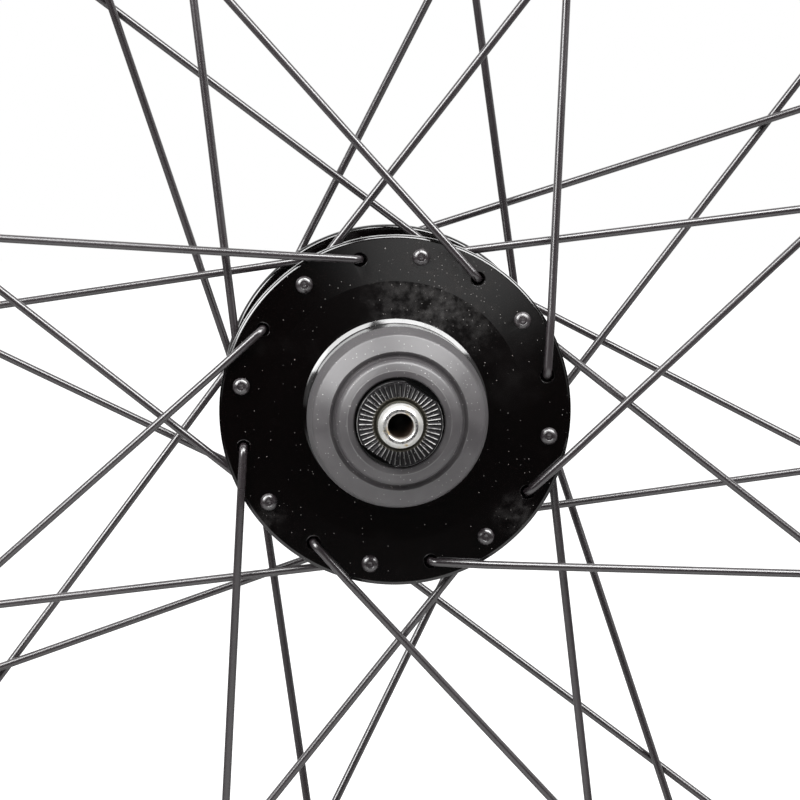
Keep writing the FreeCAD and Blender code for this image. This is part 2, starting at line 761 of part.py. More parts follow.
def rim_tape():
    """Strip over the nipple holes, with its own hole for the valve."""
    low = rim_well_radius + assembled_gap
    high = low + tape_thickness
    half = rim_well_width / 2 - tape_side_space
    hole = rod(valve_hole_radius + tape_hole_space, vec(low - cut_past, 0, 0), vec(high + cut_past, 0, 0))
    return tube(low, high, -half, half).cut(repeated(hole, 1, valve_angle))


def build_parts():
    parts = {
        "axle": axle(),
        "left_cone": cone(left_ball_depth, nut_inner_depth - assembled_gap, -1),
        "right_cone": cone(right_ball_depth, block_start - assembled_gap, 1),
        "left_locknut": locknut(-1),
        "right_locknut": locknut(1),
        "left_seal_boot": left_seal_boot(),
        "right_seal_cap": right_seal_cap(),
        "connector_block": connector_block(),
        "connector_terminals": connector_terminals(),
        "lead_wire": lead_wire(),
        "coil_bobbin": coil_bobbin(),
        "coil_winding": coil_winding(),
        "claw_pole_left": claw_pole(-1),
        "claw_pole_right": claw_pole(1),
        "stator_core": stator_core(),
        "hub_shell": hub_shell(),
        "hub_cover": hub_cover(),
        "left_bearing_cup": bearing_cup(left_ball_depth, -1),
        "right_bearing_cup": bearing_cup(right_ball_depth, 1),
        "magnet_yoke": magnet_yoke(),
        "magnet_segments": magnet_segments(),
        "rim": rim(),
        "rim_tape": rim_tape(),
        "nipples": nipples(),
        "left_balls": balls(left_ball_depth, -1),
        "right_balls": balls(right_ball_depth, 1),
        "left_ball_cage": ball_cage(left_ball_depth, -1),
        "right_ball_cage": ball_cage(right_ball_depth, 1),
    }
    for name, side in (("left", -1), ("right", 1)):
        for index in range(spokes_per_side):
            parts["spoke_%s_%02d" % (name, index + 1)] = spoke(side, index)
    return parts


os.makedirs("parts", exist_ok=True)
for node, shape in build_parts().items():
    state = "ok" if shape.isValid() and shape.Volume > 0 else "BAD"
    print("%-20s solids %2d  volume %10.1f  %s" % (node, len(shape.Solids), shape.Volume, state))
    shape.exportStep("parts/%s.step" % node)
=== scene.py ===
import bpy
import json
import math
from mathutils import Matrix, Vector


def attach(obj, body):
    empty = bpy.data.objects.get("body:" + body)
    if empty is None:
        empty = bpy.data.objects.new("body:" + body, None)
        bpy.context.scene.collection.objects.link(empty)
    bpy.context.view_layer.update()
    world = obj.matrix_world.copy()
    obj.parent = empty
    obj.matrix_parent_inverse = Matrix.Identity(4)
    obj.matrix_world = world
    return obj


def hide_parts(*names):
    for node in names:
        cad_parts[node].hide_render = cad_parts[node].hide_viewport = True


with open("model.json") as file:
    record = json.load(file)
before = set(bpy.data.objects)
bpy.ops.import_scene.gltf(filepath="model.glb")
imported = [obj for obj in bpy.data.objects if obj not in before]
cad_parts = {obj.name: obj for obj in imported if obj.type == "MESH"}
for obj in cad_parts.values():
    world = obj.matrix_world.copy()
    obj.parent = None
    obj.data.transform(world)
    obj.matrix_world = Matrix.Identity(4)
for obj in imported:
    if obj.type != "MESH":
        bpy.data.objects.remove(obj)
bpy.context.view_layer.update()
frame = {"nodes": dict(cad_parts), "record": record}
mm = 0.001
slotOf = {subpart["node"]: subpart["material_slot"] for subpart in frame["record"]["subparts"]}

# the axle runs along Y and the viewer stands at -Y; sizes are mm, depths are from the wheel's mid plane


# camera

cameraView = {
    "place": (-24.46, -678.18, 70.60),  # mm from the wheel's centre
    "azimuth": -2.227,
    "elevation": 5.942,
    "focalPixels": 3022.2,
    "photoPixels": 800,
    "sensor": 36.0,
}


def addCamera():
    view = cameraView
    turn = (math.radians(90 - view["elevation"]), 0, math.radians(view["azimuth"]))
    bpy.ops.object.camera_add(location=[mm * value for value in view["place"]], rotation=turn)
    camera = bpy.context.active_object
    camera.data.sensor_width = view["sensor"]
    camera.data.lens = view["focalPixels"] * view["sensor"] / view["photoPixels"]
    camera.data.clip_start = 0.01
    bpy.context.scene.camera = camera


addCamera()
print("camera placed")


# node helpers

def put(tree, kind, inputs=None, **settings):
    node = tree.nodes.new(kind)
    for name, value in settings.items():
        setattr(node, name, value)
    for name, value in (inputs or {}).items():
        node.inputs[name].default_value = value
    return node


def wire(tree, source, target):
    tree.links.new(source, target)


def math2(tree, operation, first, second):
    # first and second are sockets or numbers
    node = put(tree, "ShaderNodeMath", operation=operation)
    for socket, value in zip(node.inputs, (first, second)):
        if isinstance(value, (int, float)):
            socket.default_value = value
        else:
            wire(tree, value, socket)
    return node.outputs[0]


def mapRange(tree, value, fromLow, fromHigh, toLow, toHigh, smooth=False):
    node = put(tree, "ShaderNodeMapRange", interpolation_type="SMOOTHSTEP" if smooth else "LINEAR")
    for name, limit in (("From Min", fromLow), ("From Max", fromHigh), ("To Min", toLow), ("To Max", toHigh)):
        if isinstance(limit, (int, float)):
            node.inputs[name].default_value = limit
        else:
            wire(tree, limit, node.inputs[name])
    wire(tree, value, node.inputs["Value"])
    return node.outputs["Result"]


def newGroup(name, inputs, outputs):
    group = bpy.data.node_groups.new(name, "ShaderNodeTree")
    for socket, value in inputs.items():
        item = group.interface.new_socket(name=socket, in_out="INPUT", socket_type="NodeSocketFloat")
        item.default_value = value
    for socket in outputs:
        group.interface.new_socket(name=socket, in_out="OUTPUT", socket_type="NodeSocketFloat")
    return group, put(group, "NodeGroupInput"), put(group, "NodeGroupOutput")


def useGroup(tree, group, **values):
    node = put(tree, "ShaderNodeGroup", node_tree=group)
    for name, value in values.items():
        node.inputs[name].default_value = value
    return node


def splitPlace(tree):
    # the X, Y and Z of a point on the object
    place = put(tree, "ShaderNodeTexCoord")
    parts = put(tree, "ShaderNodeSeparateXYZ")
    wire(tree, place.outputs["Object"], parts.inputs[0])
    return parts


def axleRadius(tree):
    # a point's distance from the axle's line, with its X, Y and Z
    parts = splitPlace(tree)
    across = math2(tree, "POWER", parts.outputs["X"], 2.0)
    up = math2(tree, "POWER", parts.outputs["Z"], 2.0)
    return math2(tree, "POWER", math2(tree, "ADD", across, up), 0.5), parts


# effects that several finishes share

def makeDustGroup():
    tree, start, end = newGroup("dustSpecks", {"Cells": 450.0, "Size": 0.1, "Share": 0.2}, ["Mask"])
    place = put(tree, "ShaderNodeTexCoord")
    cells = put(tree, "ShaderNodeTexVoronoi")
    wire(tree, place.outputs["Object"], cells.inputs["Vector"])
    wire(tree, start.outputs["Cells"], cells.inputs["Scale"])
    half = math2(tree, "MULTIPLY", start.outputs["Size"], 0.5)
    near = mapRange(tree, cells.outputs["Distance"], half, start.outputs["Size"], 1.0, 0.0)
    pick = put(tree, "ShaderNodeSeparateColor")
    wire(tree, cells.outputs["Color"], pick.inputs[0])
    kept = math2(tree, "LESS_THAN", pick.outputs[0], start.outputs["Share"])
    wire(tree, math2(tree, "MULTIPLY", near, kept), end.inputs["Mask"])
    return tree


def makeCloudGroup():
    inputs = {"Scale": 60.0, "Detail": 4.0, "Low": 0.45, "High": 0.7}
    tree, start, end = newGroup("softClouds", inputs, ["Mask"])
    place = put(tree, "ShaderNodeTexCoord")
    noise = put(tree, "ShaderNodeTexNoise", inputs={"Roughness": 0.6})
    wire(tree, place.outputs["Object"], noise.inputs["Vector"])
    wire(tree, start.outputs["Scale"], noise.inputs["Scale"])
    wire(tree, start.outputs["Detail"], noise.inputs["Detail"])
    mask = mapRange(tree, noise.outputs["Fac"], start.outputs["Low"], start.outputs["High"], 0.0, 1.0, True)
    wire(tree, mask, end.inputs["Mask"])
    return tree


def makeTurningGroup():
    # rings that a lathe leaves, by distance from the axle and by depth
    tree, start, end = newGroup("turningMarks", {"Rings": 4000.0}, ["Height"])
    radius, parts = axleRadius(tree)
    across = math2(tree, "ADD", radius, parts.outputs["Y"])
    noise = put(tree, "ShaderNodeTexNoise", noise_dimensions="1D", inputs={"Scale": 1.0, "Detail": 2.0})
    wire(tree, math2(tree, "MULTIPLY", across, start.outputs["Rings"]), noise.inputs["W"])
    wire(tree, noise.outputs["Fac"], end.inputs["Height"])
    return tree


def makeGrainGroup():
    tree, start, end = newGroup("fineGrain", {"Scale": 3000.0}, ["Height"])
    place = put(tree, "ShaderNodeTexCoord")
    noise = put(tree, "ShaderNodeTexNoise", inputs={"Detail": 3.0, "Roughness": 0.7})
    wire(tree, place.outputs["Object"], noise.inputs["Vector"])
    wire(tree, start.outputs["Scale"], noise.inputs["Scale"])
    wire(tree, noise.outputs["Fac"], end.inputs["Height"])
    return tree


dustGroup = makeDustGroup()
cloudGroup = makeCloudGroup()
turningGroup = makeTurningGroup()
grainGroup = makeGrainGroup()


def newMaterial(name, colour, metallic, roughness, **sockets):
    material = bpy.data.materials.new(name)
    material.use_nodes = True
    tree = material.node_tree
    shader = tree.nodes["Principled BSDF"]
    shader.inputs["Base Color"].default_value = (*colour, 1)
    shader.inputs["Metallic"].default_value = metallic
    shader.inputs["Roughness"].default_value = roughness
    for socket, value in sockets.items():
        shader.inputs[socket.replace("_", " ")].default_value = value
    return material, tree, shader


def mixColour(tree, mask, base, over):
    # base and over are colours or colour sockets
    node = put(tree, "ShaderNodeMix", data_type="RGBA")
    wire(tree, mask, node.inputs["Factor"])
    for socket, value in ((node.inputs[6], base), (node.inputs[7], over)):
        if isinstance(value, tuple):
            socket.default_value = (*value, 1)
        else:
            wire(tree, value, socket)
    return node.outputs[2]


def addBump(tree, shader, height, distance):
    bump = put(tree, "ShaderNodeBump", inputs={"Distance": distance})
    wire(tree, height, bump.inputs["Height"])
    wire(tree, bump.outputs["Normal"], shader.inputs["Normal"])


def surfaceFinish(name, colour, stain, metallic, roughness, spread, depth, grain=0, rings=0, dust=0.0):
    # plain finish: a stained colour, an uneven gloss, a grain or turning marks, and some dust
    dustColour = (0.45, 0.44, 0.42)
    material, tree, shader = newMaterial(name, colour, metallic, roughness)
    cloud = useGroup(tree, cloudGroup, Scale=90.0, Low=0.3, High=0.75)
    toned = mixColour(tree, cloud.outputs["Mask"], colour, stain)
    if dust:
        specks = useGroup(tree, dustGroup, Share=dust)
        toned = mixColour(tree, specks.outputs["Mask"], toned, dustColour)
    wire(tree, toned, shader.inputs["Base Color"])
    gloss = mapRange(tree, cloud.outputs["Mask"], 0.0, 1.0, roughness - spread, roughness + spread)
    wire(tree, gloss, shader.inputs["Roughness"])
    if rings:
        height = useGroup(tree, turningGroup, Rings=rings).outputs["Height"]
    else:
        height = useGroup(tree, grainGroup, Scale=grain).outputs["Height"]
    addBump(tree, shader, height, depth * mm)
    return material


def glossBlackFinish():
    # gloss paint with dust, hazy where it was wiped
    finish = {
        "colour": (0.0011, 0.0005, 0.0005),
        "haze": (0.048, 0.045, 0.044),
        "dust": (0.42, 0.40, 0.38),
        "hazeSpots": [((9, -24, 25), 3.0, 19.0, 1.0), ((26, -24, -22.5), 0.5, 6.0, 0.75),
                      ((-27.5, -24, -23.5), 0.5, 5.0, 0.5)],  # centre, full to, none from, strength
        "wideHaze": 0.15,
        "nearDust": 0.35,
        "gloss": (0.10, 0.34),
        "dustRoughness": 0.8,
    }
    material, tree, shader = newMaterial("hubGlossBlack", finish["colour"], 0.0, 0.12, IOR=2.0)
    place = put(tree, "ShaderNodeTexCoord")
    spot = 0.0
    for centre, full, none, strength in finish["hazeSpots"]:
        centre = [mm * value for value in centre]
        away = put(tree, "ShaderNodeVectorMath", operation="DISTANCE", inputs={1: centre})
        wire(tree, place.outputs["Object"], away.inputs[0])
        near = mapRange(tree, away.outputs["Value"], full * mm, none * mm, strength, 0.0, True)
        spot = math2(tree, "MAXIMUM", near, spot)
    cloud = useGroup(tree, cloudGroup, Scale=520.0, Detail=12.0, Low=0.36, High=0.78)
    wide = useGroup(tree, cloudGroup, Scale=50.0, Detail=6.0, Low=0.55, High=0.8)
    smudge = math2(tree, "MULTIPLY", spot, cloud.outputs["Mask"])
    smeared = math2(tree, "MULTIPLY", wide.outputs["Mask"], finish["wideHaze"])
    smudge = math2(tree, "MAXIMUM", smudge, smeared)
    toned = mixColour(tree, smudge, finish["colour"], finish["haze"])
    small = useGroup(tree, dustGroup, Cells=1100.0, Size=0.10, Share=0.30)
    large = useGroup(tree, dustGroup, Cells=360.0, Size=0.052, Share=0.22)
    close = useGroup(tree, dustGroup, Cells=1200.0, Size=0.20, Share=0.45)
    close = math2(tree, "MULTIPLY", close.outputs["Mask"], spot)
    close = math2(tree, "MULTIPLY", close, finish["nearDust"])
    specks = math2(tree, "MAXIMUM", small.outputs["Mask"], large.outputs["Mask"])
    specks = math2(tree, "MAXIMUM", specks, close)
    wire(tree, mixColour(tree, specks, toned, finish["dust"]), shader.inputs["Base Color"])
    rough = mapRange(tree, smudge, 0.0, 1.0, *finish["gloss"])
    rough = math2(tree, "MAXIMUM", rough, math2(tree, "MULTIPLY", specks, finish["dustRoughness"]))
    wire(tree, rough, shader.inputs["Roughness"])
    addBump(tree, shader, useGroup(tree, grainGroup, Scale=300.0).outputs["Height"], 0.0005 * mm)
    return material


def spokeFinish():
    # smooth black, with a few light scuffs
    finish = {
        "colour": (0.021, 0.0155, 0.018),
        "worn": (0.030, 0.023, 0.026),
        "scuff": (0.14, 0.135, 0.13),
    }
    material, tree, shader = newMaterial("spokeBlack", finish["colour"], 0.0, 0.26, IOR=2.4)
    cloud = useGroup(tree, cloudGroup, Scale=30.0, Low=0.4, High=0.7)
    scuff = useGroup(tree, dustGroup, Cells=300.0, Size=0.12, Share=0.06)
    toned = mixColour(tree, cloud.outputs["Mask"], finish["colour"], finish["worn"])
    toned = mixColour(tree, scuff.outputs["Mask"], toned, finish["scuff"])
    wire(tree, toned, shader.inputs["Base Color"])
    wire(tree, mapRange(tree, cloud.outputs["Mask"], 0.0, 1.0, 0.26, 0.33), shader.inputs["Roughness"])
    return material


def rubberFinish():
    # dark grey rubber with a soft gloss, lighter along its moulded edges as a painted edge highlight and
    # rubbed wear, and painted black shade inside its opening
    finish = {
        "colour": (0.058, 0.053, 0.056),
        "cloudy": (0.084, 0.078, 0.081),
        "wornEdgeHighlight": (0.15, 0.145, 0.145),
        "dusty": (0.122, 0.116, 0.120),
        "specks": (0.65, 0.63, 0.61),
        "inside": (0.0008, 0.0007, 0.0007),
    }
    edges = {"radii": (11.06, 14.80, 19.42), "width": 0.16}
    side = {"from": 18.2, "blend": 0.4}
    inside = {"radius": 9.60, "depth": 46.6, "blend": 0.4, "roughness": 0.12}
    material, tree, shader = newMaterial("bootRubber", finish["colour"], 0.0, 0.4, IOR=1.95)
    radius, parts = axleRadius(tree)
    # lighter lines along the moulded edges: a painted edge highlight and rubbed wear
    worn = 0.0
    for edge in edges["radii"]:
        away = math2(tree, "ABSOLUTE", math2(tree, "SUBTRACT", radius, edge * mm), 0.0)
        line = mapRange(tree, away, 0.0, edges["width"] * mm, 1.0, 0.0, True)
        worn = math2(tree, "MAXIMUM", line, worn)
    cloud = useGroup(tree, cloudGroup, Scale=120.0, Detail=6.0, Low=0.35, High=0.7)
    wornEdgeHighlight = useGroup(tree, cloudGroup, Scale=260.0, Detail=4.0, Low=0.25, High=0.6)
    fine = useGroup(tree, dustGroup, Cells=1200.0, Size=0.16, Share=0.55)
    coarse = useGroup(tree, dustGroup, Cells=620.0, Size=0.085, Share=0.65)
    toned = mixColour(tree, cloud.outputs["Mask"], finish["colour"], finish["cloudy"])
    worn = math2(tree, "MULTIPLY", worn, wornEdgeHighlight.outputs["Mask"])
    toned = mixColour(tree, worn, toned, finish["wornEdgeHighlight"])
    dusty = mapRange(tree, radius, side["from"] * mm, (side["from"] + side["blend"]) * mm, 0.0, 1.0, True)
    toned = mixColour(tree, dusty, toned, finish["dusty"])
    specks = math2(tree, "MULTIPLY", fine.outputs["Mask"], 0.5)
    specks = math2(tree, "MAXIMUM", specks, coarse.outputs["Mask"])
    toned = mixColour(tree, specks, toned, finish["specks"])
    # painted shade: the recess inside the opening, round the nut, is coloured near black and glossy
    depth = math2(tree, "ABSOLUTE", parts.outputs["Y"], 0.0)
    deep = mapRange(tree, depth, inside["depth"] * mm, (inside["depth"] + inside["blend"]) * mm, 1.0, 0.0)
    dark = math2(tree, "MULTIPLY", math2(tree, "LESS_THAN", radius, inside["radius"] * mm), deep)
    wire(tree, mixColour(tree, dark, toned, finish["inside"]), shader.inputs["Base Color"])
    rough = mapRange(tree, cloud.outputs["Mask"], 0.0, 1.0, 0.36, 0.45)
    wire(tree, mapRange(tree, dark, 0.0, 1.0, rough, inside["roughness"]), shader.inputs["Roughness"])
    addBump(tree, shader, useGroup(tree, grainGroup, Scale=2600.0).outputs["Height"], 0.006 * mm)
    return material


def weaveFinish():
    # a wave round the rim times one across it; the whole number closes the weave
    weave = {"around": 737, "across": 9600.0, "depth": 0.05}
    colour, gap = (0.50, 0.46, 0.36), (0.34, 0.31, 0.24)
    material, tree, shader = newMaterial("rimTapeCloth", colour, 0.0, 0.85)
    parts = splitPlace(tree)
    angle = math2(tree, "ARCTAN2", parts.outputs["Z"], parts.outputs["X"])
    along = math2(tree, "SINE", math2(tree, "MULTIPLY", angle, weave["around"]), 0.0)
    across = math2(tree, "SINE", math2(tree, "MULTIPLY", parts.outputs["Y"], weave["across"]), 0.0)
    height = math2(tree, "MULTIPLY", along, across)
    shade = mapRange(tree, height, -1.0, 1.0, 0.0, 1.0)
    wire(tree, mixColour(tree, shade, gap, colour), shader.inputs["Base Color"])
    addBump(tree, shader, height, weave["depth"] * mm)
    return material


def rimFinish():
    # black anodising, with two machined tracks where the brake pads run
    finish = {
        "colour": (0.012, 0.012, 0.013),
        "worn": (0.02, 0.02, 0.021),
        "track": (0.52, 0.52, 0.53),
    }
    track = {"low": 304.4, "high": 316.3, "depth": 11.6, "metallic": 0.6}
    material, tree, shader = newMaterial("rimBlack", finish["colour"], 0.0, 0.32)
    radius, parts = axleRadius(tree)
    depth = math2(tree, "ABSOLUTE", parts.outputs["Y"], 0.0)
    mask = math2(tree, "GREATER_THAN", radius, track["low"] * mm)
    mask = math2(tree, "MULTIPLY", mask, math2(tree, "LESS_THAN", radius, track["high"] * mm))
    mask = math2(tree, "MULTIPLY", mask, math2(tree, "GREATER_THAN", depth, track["depth"] * mm))
    cloud = useGroup(tree, cloudGroup, Scale=25.0, Low=0.35, High=0.7)
    black = mixColour(tree, cloud.outputs["Mask"], finish["colour"], finish["worn"])
    wire(tree, mixColour(tree, mask, black, finish["track"]), shader.inputs["Base Color"])
    wire(tree, mapRange(tree, mask, 0.0, 1.0, 0.0, track["metallic"]), shader.inputs["Metallic"])
    wire(tree, mapRange(tree, mask, 0.0, 1.0, 0.34, 0.3), shader.inputs["Roughness"])
    marks = useGroup(tree, turningGroup, Rings=5000.0).outputs["Height"]
    grain = useGroup(tree, grainGroup, Scale=1800.0).outputs["Height"]
    machined = math2(tree, "MULTIPLY", marks, mask)
    height = math2(tree, "ADD", machined, math2(tree, "MULTIPLY", grain, 0.3))
    addBump(tree, shader, height, 0.03 * mm)
    return material


def windingFinish():
    # turns of enamelled wire, one beside the other
    colour, gap = (0.62, 0.22, 0.09), (0.26, 0.08, 0.03)
    turnsPerMetre = 14000.0
    material, tree, shader = newMaterial("copperWire", colour, 0.9, 0.32)
    radius, parts = axleRadius(tree)
    across = math2(tree, "ADD", parts.outputs["Y"], radius)
    turns = math2(tree, "SINE", math2(tree, "MULTIPLY", across, turnsPerMetre), 0.0)
    shade = mapRange(tree, turns, -1.0, 1.0, 0.0, 1.0)
    wire(tree, mixColour(tree, shade, gap, colour), shader.inputs["Base Color"])
    addBump(tree, shader, turns, 0.12 * mm)
    return material


def zincFinish():
    # bright plating, scratched on its flat ends, with a grimy bore and a dirty thread
    finish = {
        "colour": (0.90, 0.89, 0.86),
        "dull": (0.22, 0.215, 0.21),
        "rust": (0.62, 0.47, 0.22),
        "scratched": (0.085, 0.082, 0.085),
        "thread": (0.10, 0.095, 0.075),
        "bore": (0.40, 0.32, 0.27),
    }
    size = {"bore": 2.72, "mouth": 3.06, "tip": 3.66, "end": 4.78, "chamfer": 51.5}
    boreBrown = {"full": 50.0, "faint": 53.6, "least": 0.25}
    material, tree, shader = newMaterial("axleZinc", finish["colour"], 0.7, 0.3)
    radius, parts = axleRadius(tree)
    depth = math2(tree, "ABSOLUTE", parts.outputs["Y"], 0.0)
    cloud = useGroup(tree, cloudGroup, Scale=520.0, Detail=7.0, Low=0.54, High=0.66)
    scratch = useGroup(tree, cloudGroup, Scale=1400.0, Detail=5.0, Low=0.42, High=0.56)
    rust = useGroup(tree, cloudGroup, Scale=300.0, Detail=2.0, Low=0.60, High=0.72)
    left = mapRange(tree, parts.outputs["X"], -4.0 * mm, 1.5 * mm, 1.0, 0.15)
    mottle = math2(tree, "MULTIPLY", cloud.outputs["Mask"], left)
    toned = mixColour(tree, mottle, finish["colour"], finish["dull"])
    toned = mixColour(tree, rust.outputs["Mask"], toned, finish["rust"])
    flat = math2(tree, "MULTIPLY", math2(tree, "GREATER_THAN", radius, size["mouth"] * mm),
                 math2(tree, "LESS_THAN", radius, size["tip"] * mm))
    flat = math2(tree, "MULTIPLY", flat, math2(tree, "GREATER_THAN", depth, size["chamfer"] * mm))
    marred = math2(tree, "MULTIPLY", flat, mapRange(tree, scratch.outputs["Mask"], 0.0, 1.0, 0.7, 1.0))
    toned = mixColour(tree, marred, toned, finish["scratched"])
    thread = math2(tree, "GREATER_THAN", radius, size["end"] * mm)
    low = math2(tree, "LESS_THAN", depth, size["chamfer"] * mm)
    toned = mixColour(tree, math2(tree, "MAXIMUM", thread, low), toned, finish["thread"])
    deep = mapRange(tree, depth, boreBrown["full"] * mm, boreBrown["faint"] * mm, 1.0, boreBrown["least"])
    bore = math2(tree, "MULTIPLY", math2(tree, "LESS_THAN", radius, size["bore"] * mm), deep)
    wire(tree, mixColour(tree, bore, toned, finish["bore"]), shader.inputs["Base Color"])
    metal = mapRange(tree, math2(tree, "MAXIMUM", bore, flat), 0.0, 1.0, 0.65, 0.3)
    wire(tree, metal, shader.inputs["Metallic"])
    rough = mapRange(tree, mottle, 0.0, 1.0, 0.22, 0.40)
    rough = math2(tree, "MAXIMUM", rough, math2(tree, "MULTIPLY", bore, 0.6))
    wire(tree, rough, shader.inputs["Roughness"])
    addBump(tree, shader, useGroup(tree, turningGroup, Rings=6000.0).outputs["Height"], 0.004 * mm)
    return material


def nutFinish():
    # dark steel, bright along its ridges and its rim as wear and a painted highlight, with painted glints on
    # the teeth, painted light that is brighter at the left and right than at top and bottom, and old grease
    # inside the ring of teeth
    finish = {
        "dark": (0.040, 0.038, 0.040),
        "grease": (0.062, 0.056, 0.044),
        "bright": (0.80, 0.79, 0.78),
    }
    size = {"ridge": 49.98, "valley": 49.87, "teeth": 5.85, "rim": 8.93, "side": 49.1}
    material, tree, shader = newMaterial("nutSteel", finish["dark"], 0.8, 0.36)
    radius, parts = axleRadius(tree)
    depth = math2(tree, "ABSOLUTE", parts.outputs["Y"], 0.0)
    # ridges and rim are lightened: partly wear, partly a painted highlight
    ridge = mapRange(tree, depth, size["valley"] * mm, size["ridge"] * mm, 0.0, 1.0, True)
    toothed = math2(tree, "GREATER_THAN", radius, size["teeth"] * mm)
    rim = mapRange(tree, radius, size["rim"] * mm, (size["rim"] + 0.08) * mm, 0.0, 0.7)
    corner = mapRange(tree, depth, size["side"] * mm, (size["side"] + 0.2) * mm, 0.12, 1.0)
    edges = math2(tree, "MAXIMUM", math2(tree, "MULTIPLY", ridge, toothed),
                  math2(tree, "MULTIPLY", rim, corner))
    patchyWearAndHighlight = useGroup(tree, cloudGroup, Scale=520.0, Detail=6.0, Low=0.30, High=0.60)
    # painted glints: small bright specks on the teeth
    glint = useGroup(tree, dustGroup, Cells=2600.0, Size=0.22, Share=0.22)
    # painted light: the bright lines are strongest at the left and right and dimmer at the top and bottom
    above = math2(tree, "ABSOLUTE", parts.outputs["Z"], 0.0)
    sides = mapRange(tree, above, 4.0 * mm, 7.5 * mm, 1.0, 0.35, True)
    bright = math2(tree, "MULTIPLY", edges, math2(tree, "MULTIPLY", patchyWearAndHighlight.outputs["Mask"], sides))
    bright = math2(tree, "MAXIMUM", bright, math2(tree, "MULTIPLY", glint.outputs["Mask"], toothed))
    greasy = mapRange(tree, toothed, 0.0, 1.0, 1.0, 0.0)
    toned = mixColour(tree, greasy, finish["dark"], finish["grease"])
    wire(tree, mixColour(tree, bright, toned, finish["bright"]), shader.inputs["Base Color"])
    wire(tree, mapRange(tree, bright, 0.0, 1.0, 0.34, 0.42), shader.inputs["Roughness"])
    metal = mapRange(tree, math2(tree, "MAXIMUM", greasy, bright), 0.0, 1.0, 0.85, 0.3)
    wire(tree, metal, shader.inputs["Metallic"])
    addBump(tree, shader, useGroup(tree, grainGroup, Scale=4000.0).outputs["Height"], 0.015 * mm)
    return material


plainFinishes = {  # grain or rings are per metre, depth is mm
    "seal_rubber": {"name": "sealRubber", "colour": (0.02, 0.02, 0.021), "stain": (0.04, 0.04, 0.04),
                    "metallic": 0.0, "roughness": 0.55, "spread": 0.08, "grain": 2500.0, "depth": 0.015,
                    "dust": 0.12},
    "bearing_steel": {"name": "bearingSteel", "colour": (0.5, 0.5, 0.5), "stain": (0.36, 0.35, 0.34),
                      "metallic": 1.0, "roughness": 0.24, "spread": 0.06, "rings": 7000.0, "depth": 0.01},
    "ball_steel": {"name": "ballSteel", "colour": (0.78, 0.78, 0.79), "stain": (0.7, 0.7, 0.71),
                   "metallic": 1.0, "roughness": 0.1, "spread": 0.03, "grain": 2000.0, "depth": 0.001},
    "cage_steel": {"name": "cageSteel", "colour": (0.5, 0.48, 0.44), "stain": (0.36, 0.33, 0.29),
                   "metallic": 1.0, "roughness": 0.36, "spread": 0.08, "grain": 3000.0, "depth": 0.01},
    "connector_plastic": {"name": "connectorPlastic", "colour": (0.022, 0.022, 0.024),
                          "stain": (0.035, 0.035, 0.037), "metallic": 0.0, "roughness": 0.42, "spread": 0.07,
                          "grain": 2200.0, "depth": 0.02, "dust": 0.08},
    "terminal_brass": {"name": "terminalBrass", "colour": (0.78, 0.58, 0.25), "stain": (0.55, 0.38, 0.15),
                       "metallic": 1.0, "roughness": 0.3, "spread": 0.08, "grain": 3000.0, "depth": 0.01},
    "lead_insulation": {"name": "leadInsulation", "colour": (0.03, 0.03, 0.033), "stain": (0.05, 0.05, 0.05),
                        "metallic": 0.0, "roughness": 0.35, "spread": 0.06, "grain": 2000.0, "depth": 0.01},
    "bobbin_plastic": {"name": "bobbinNylon", "colour": (0.72, 0.70, 0.64), "stain": (0.6, 0.57, 0.5),
                       "metallic": 0.0, "roughness": 0.45, "spread": 0.08, "grain": 1500.0, "depth": 0.02},
    "stator_iron": {"name": "statorIron", "colour": (0.34, 0.34, 0.35), "stain": (0.2, 0.19, 0.18),
                    "metallic": 0.9, "roughness": 0.42, "spread": 0.1, "grain": 2500.0, "depth": 0.02},
    "magnet_ferrite": {"name": "magnetFerrite", "colour": (0.05, 0.05, 0.055), "stain": (0.08, 0.08, 0.08),
                       "metallic": 0.1, "roughness": 0.6, "spread": 0.08, "grain": 2000.0, "depth": 0.03},
    "nipple_brass": {"name": "nippleNickel", "colour": (0.66, 0.65, 0.62), "stain": (0.5, 0.48, 0.44),
                     "metallic": 1.0, "roughness": 0.28, "spread": 0.07, "grain": 2500.0, "depth": 0.01},
}
materials = {
    "hub_gloss_black": glossBlackFinish(),
    "spoke_black": spokeFinish(),
    "boot_rubber": rubberFinish(),
    "dark_steel": nutFinish(),
    "zinc_steel": zincFinish(),
    "rim_black": rimFinish(),
    "rim_tape_cloth": weaveFinish(),
    "copper_wire": windingFinish(),
}
materials.update({slot: surfaceFinish(**finish) for slot, finish in plainFinishes.items()})

for nodeName, slot in slotOf.items():
    node = frame["nodes"][nodeName]
    node.data.materials.clear()
    node.data.materials.append(materials[slot])
print("materials made and given to the nodes")


# lathe work

weldGap = 0.0005 * mm


def dropSelection():
    bpy.ops.object.select_all(action="DESELECT")


def selectOnly(piece):
    dropSelection()
    piece.select_set(True)
    bpy.context.view_layer.objects.active = piece


def startCircle(radius, centre, sides, fill="NOTHING"):
    # a circle across a line along Y, left open for editing with all of it selected
    dropSelection()
    bpy.ops.mesh.primitive_circle_add(vertices=sides, radius=radius * mm, fill_type=fill, location=centre,
                                      rotation=(math.radians(90), 0, 0))
    piece = bpy.context.active_object
    bpy.ops.object.transform_apply(location=True, rotation=True, scale=True)
    bpy.ops.object.mode_set(mode="EDIT")
    bpy.ops.mesh.select_all(action="SELECT")
    return piece


def pullRing(move, scale, centre):
    # the selected ring of edges is drawn on along Y and made larger or smaller
    bpy.ops.mesh.extrude_edges_move(TRANSFORM_OT_translate={"value": (0, move * mm, 0)})
    bpy.ops.transform.resize(value=(scale, 1, scale), center_override=centre)


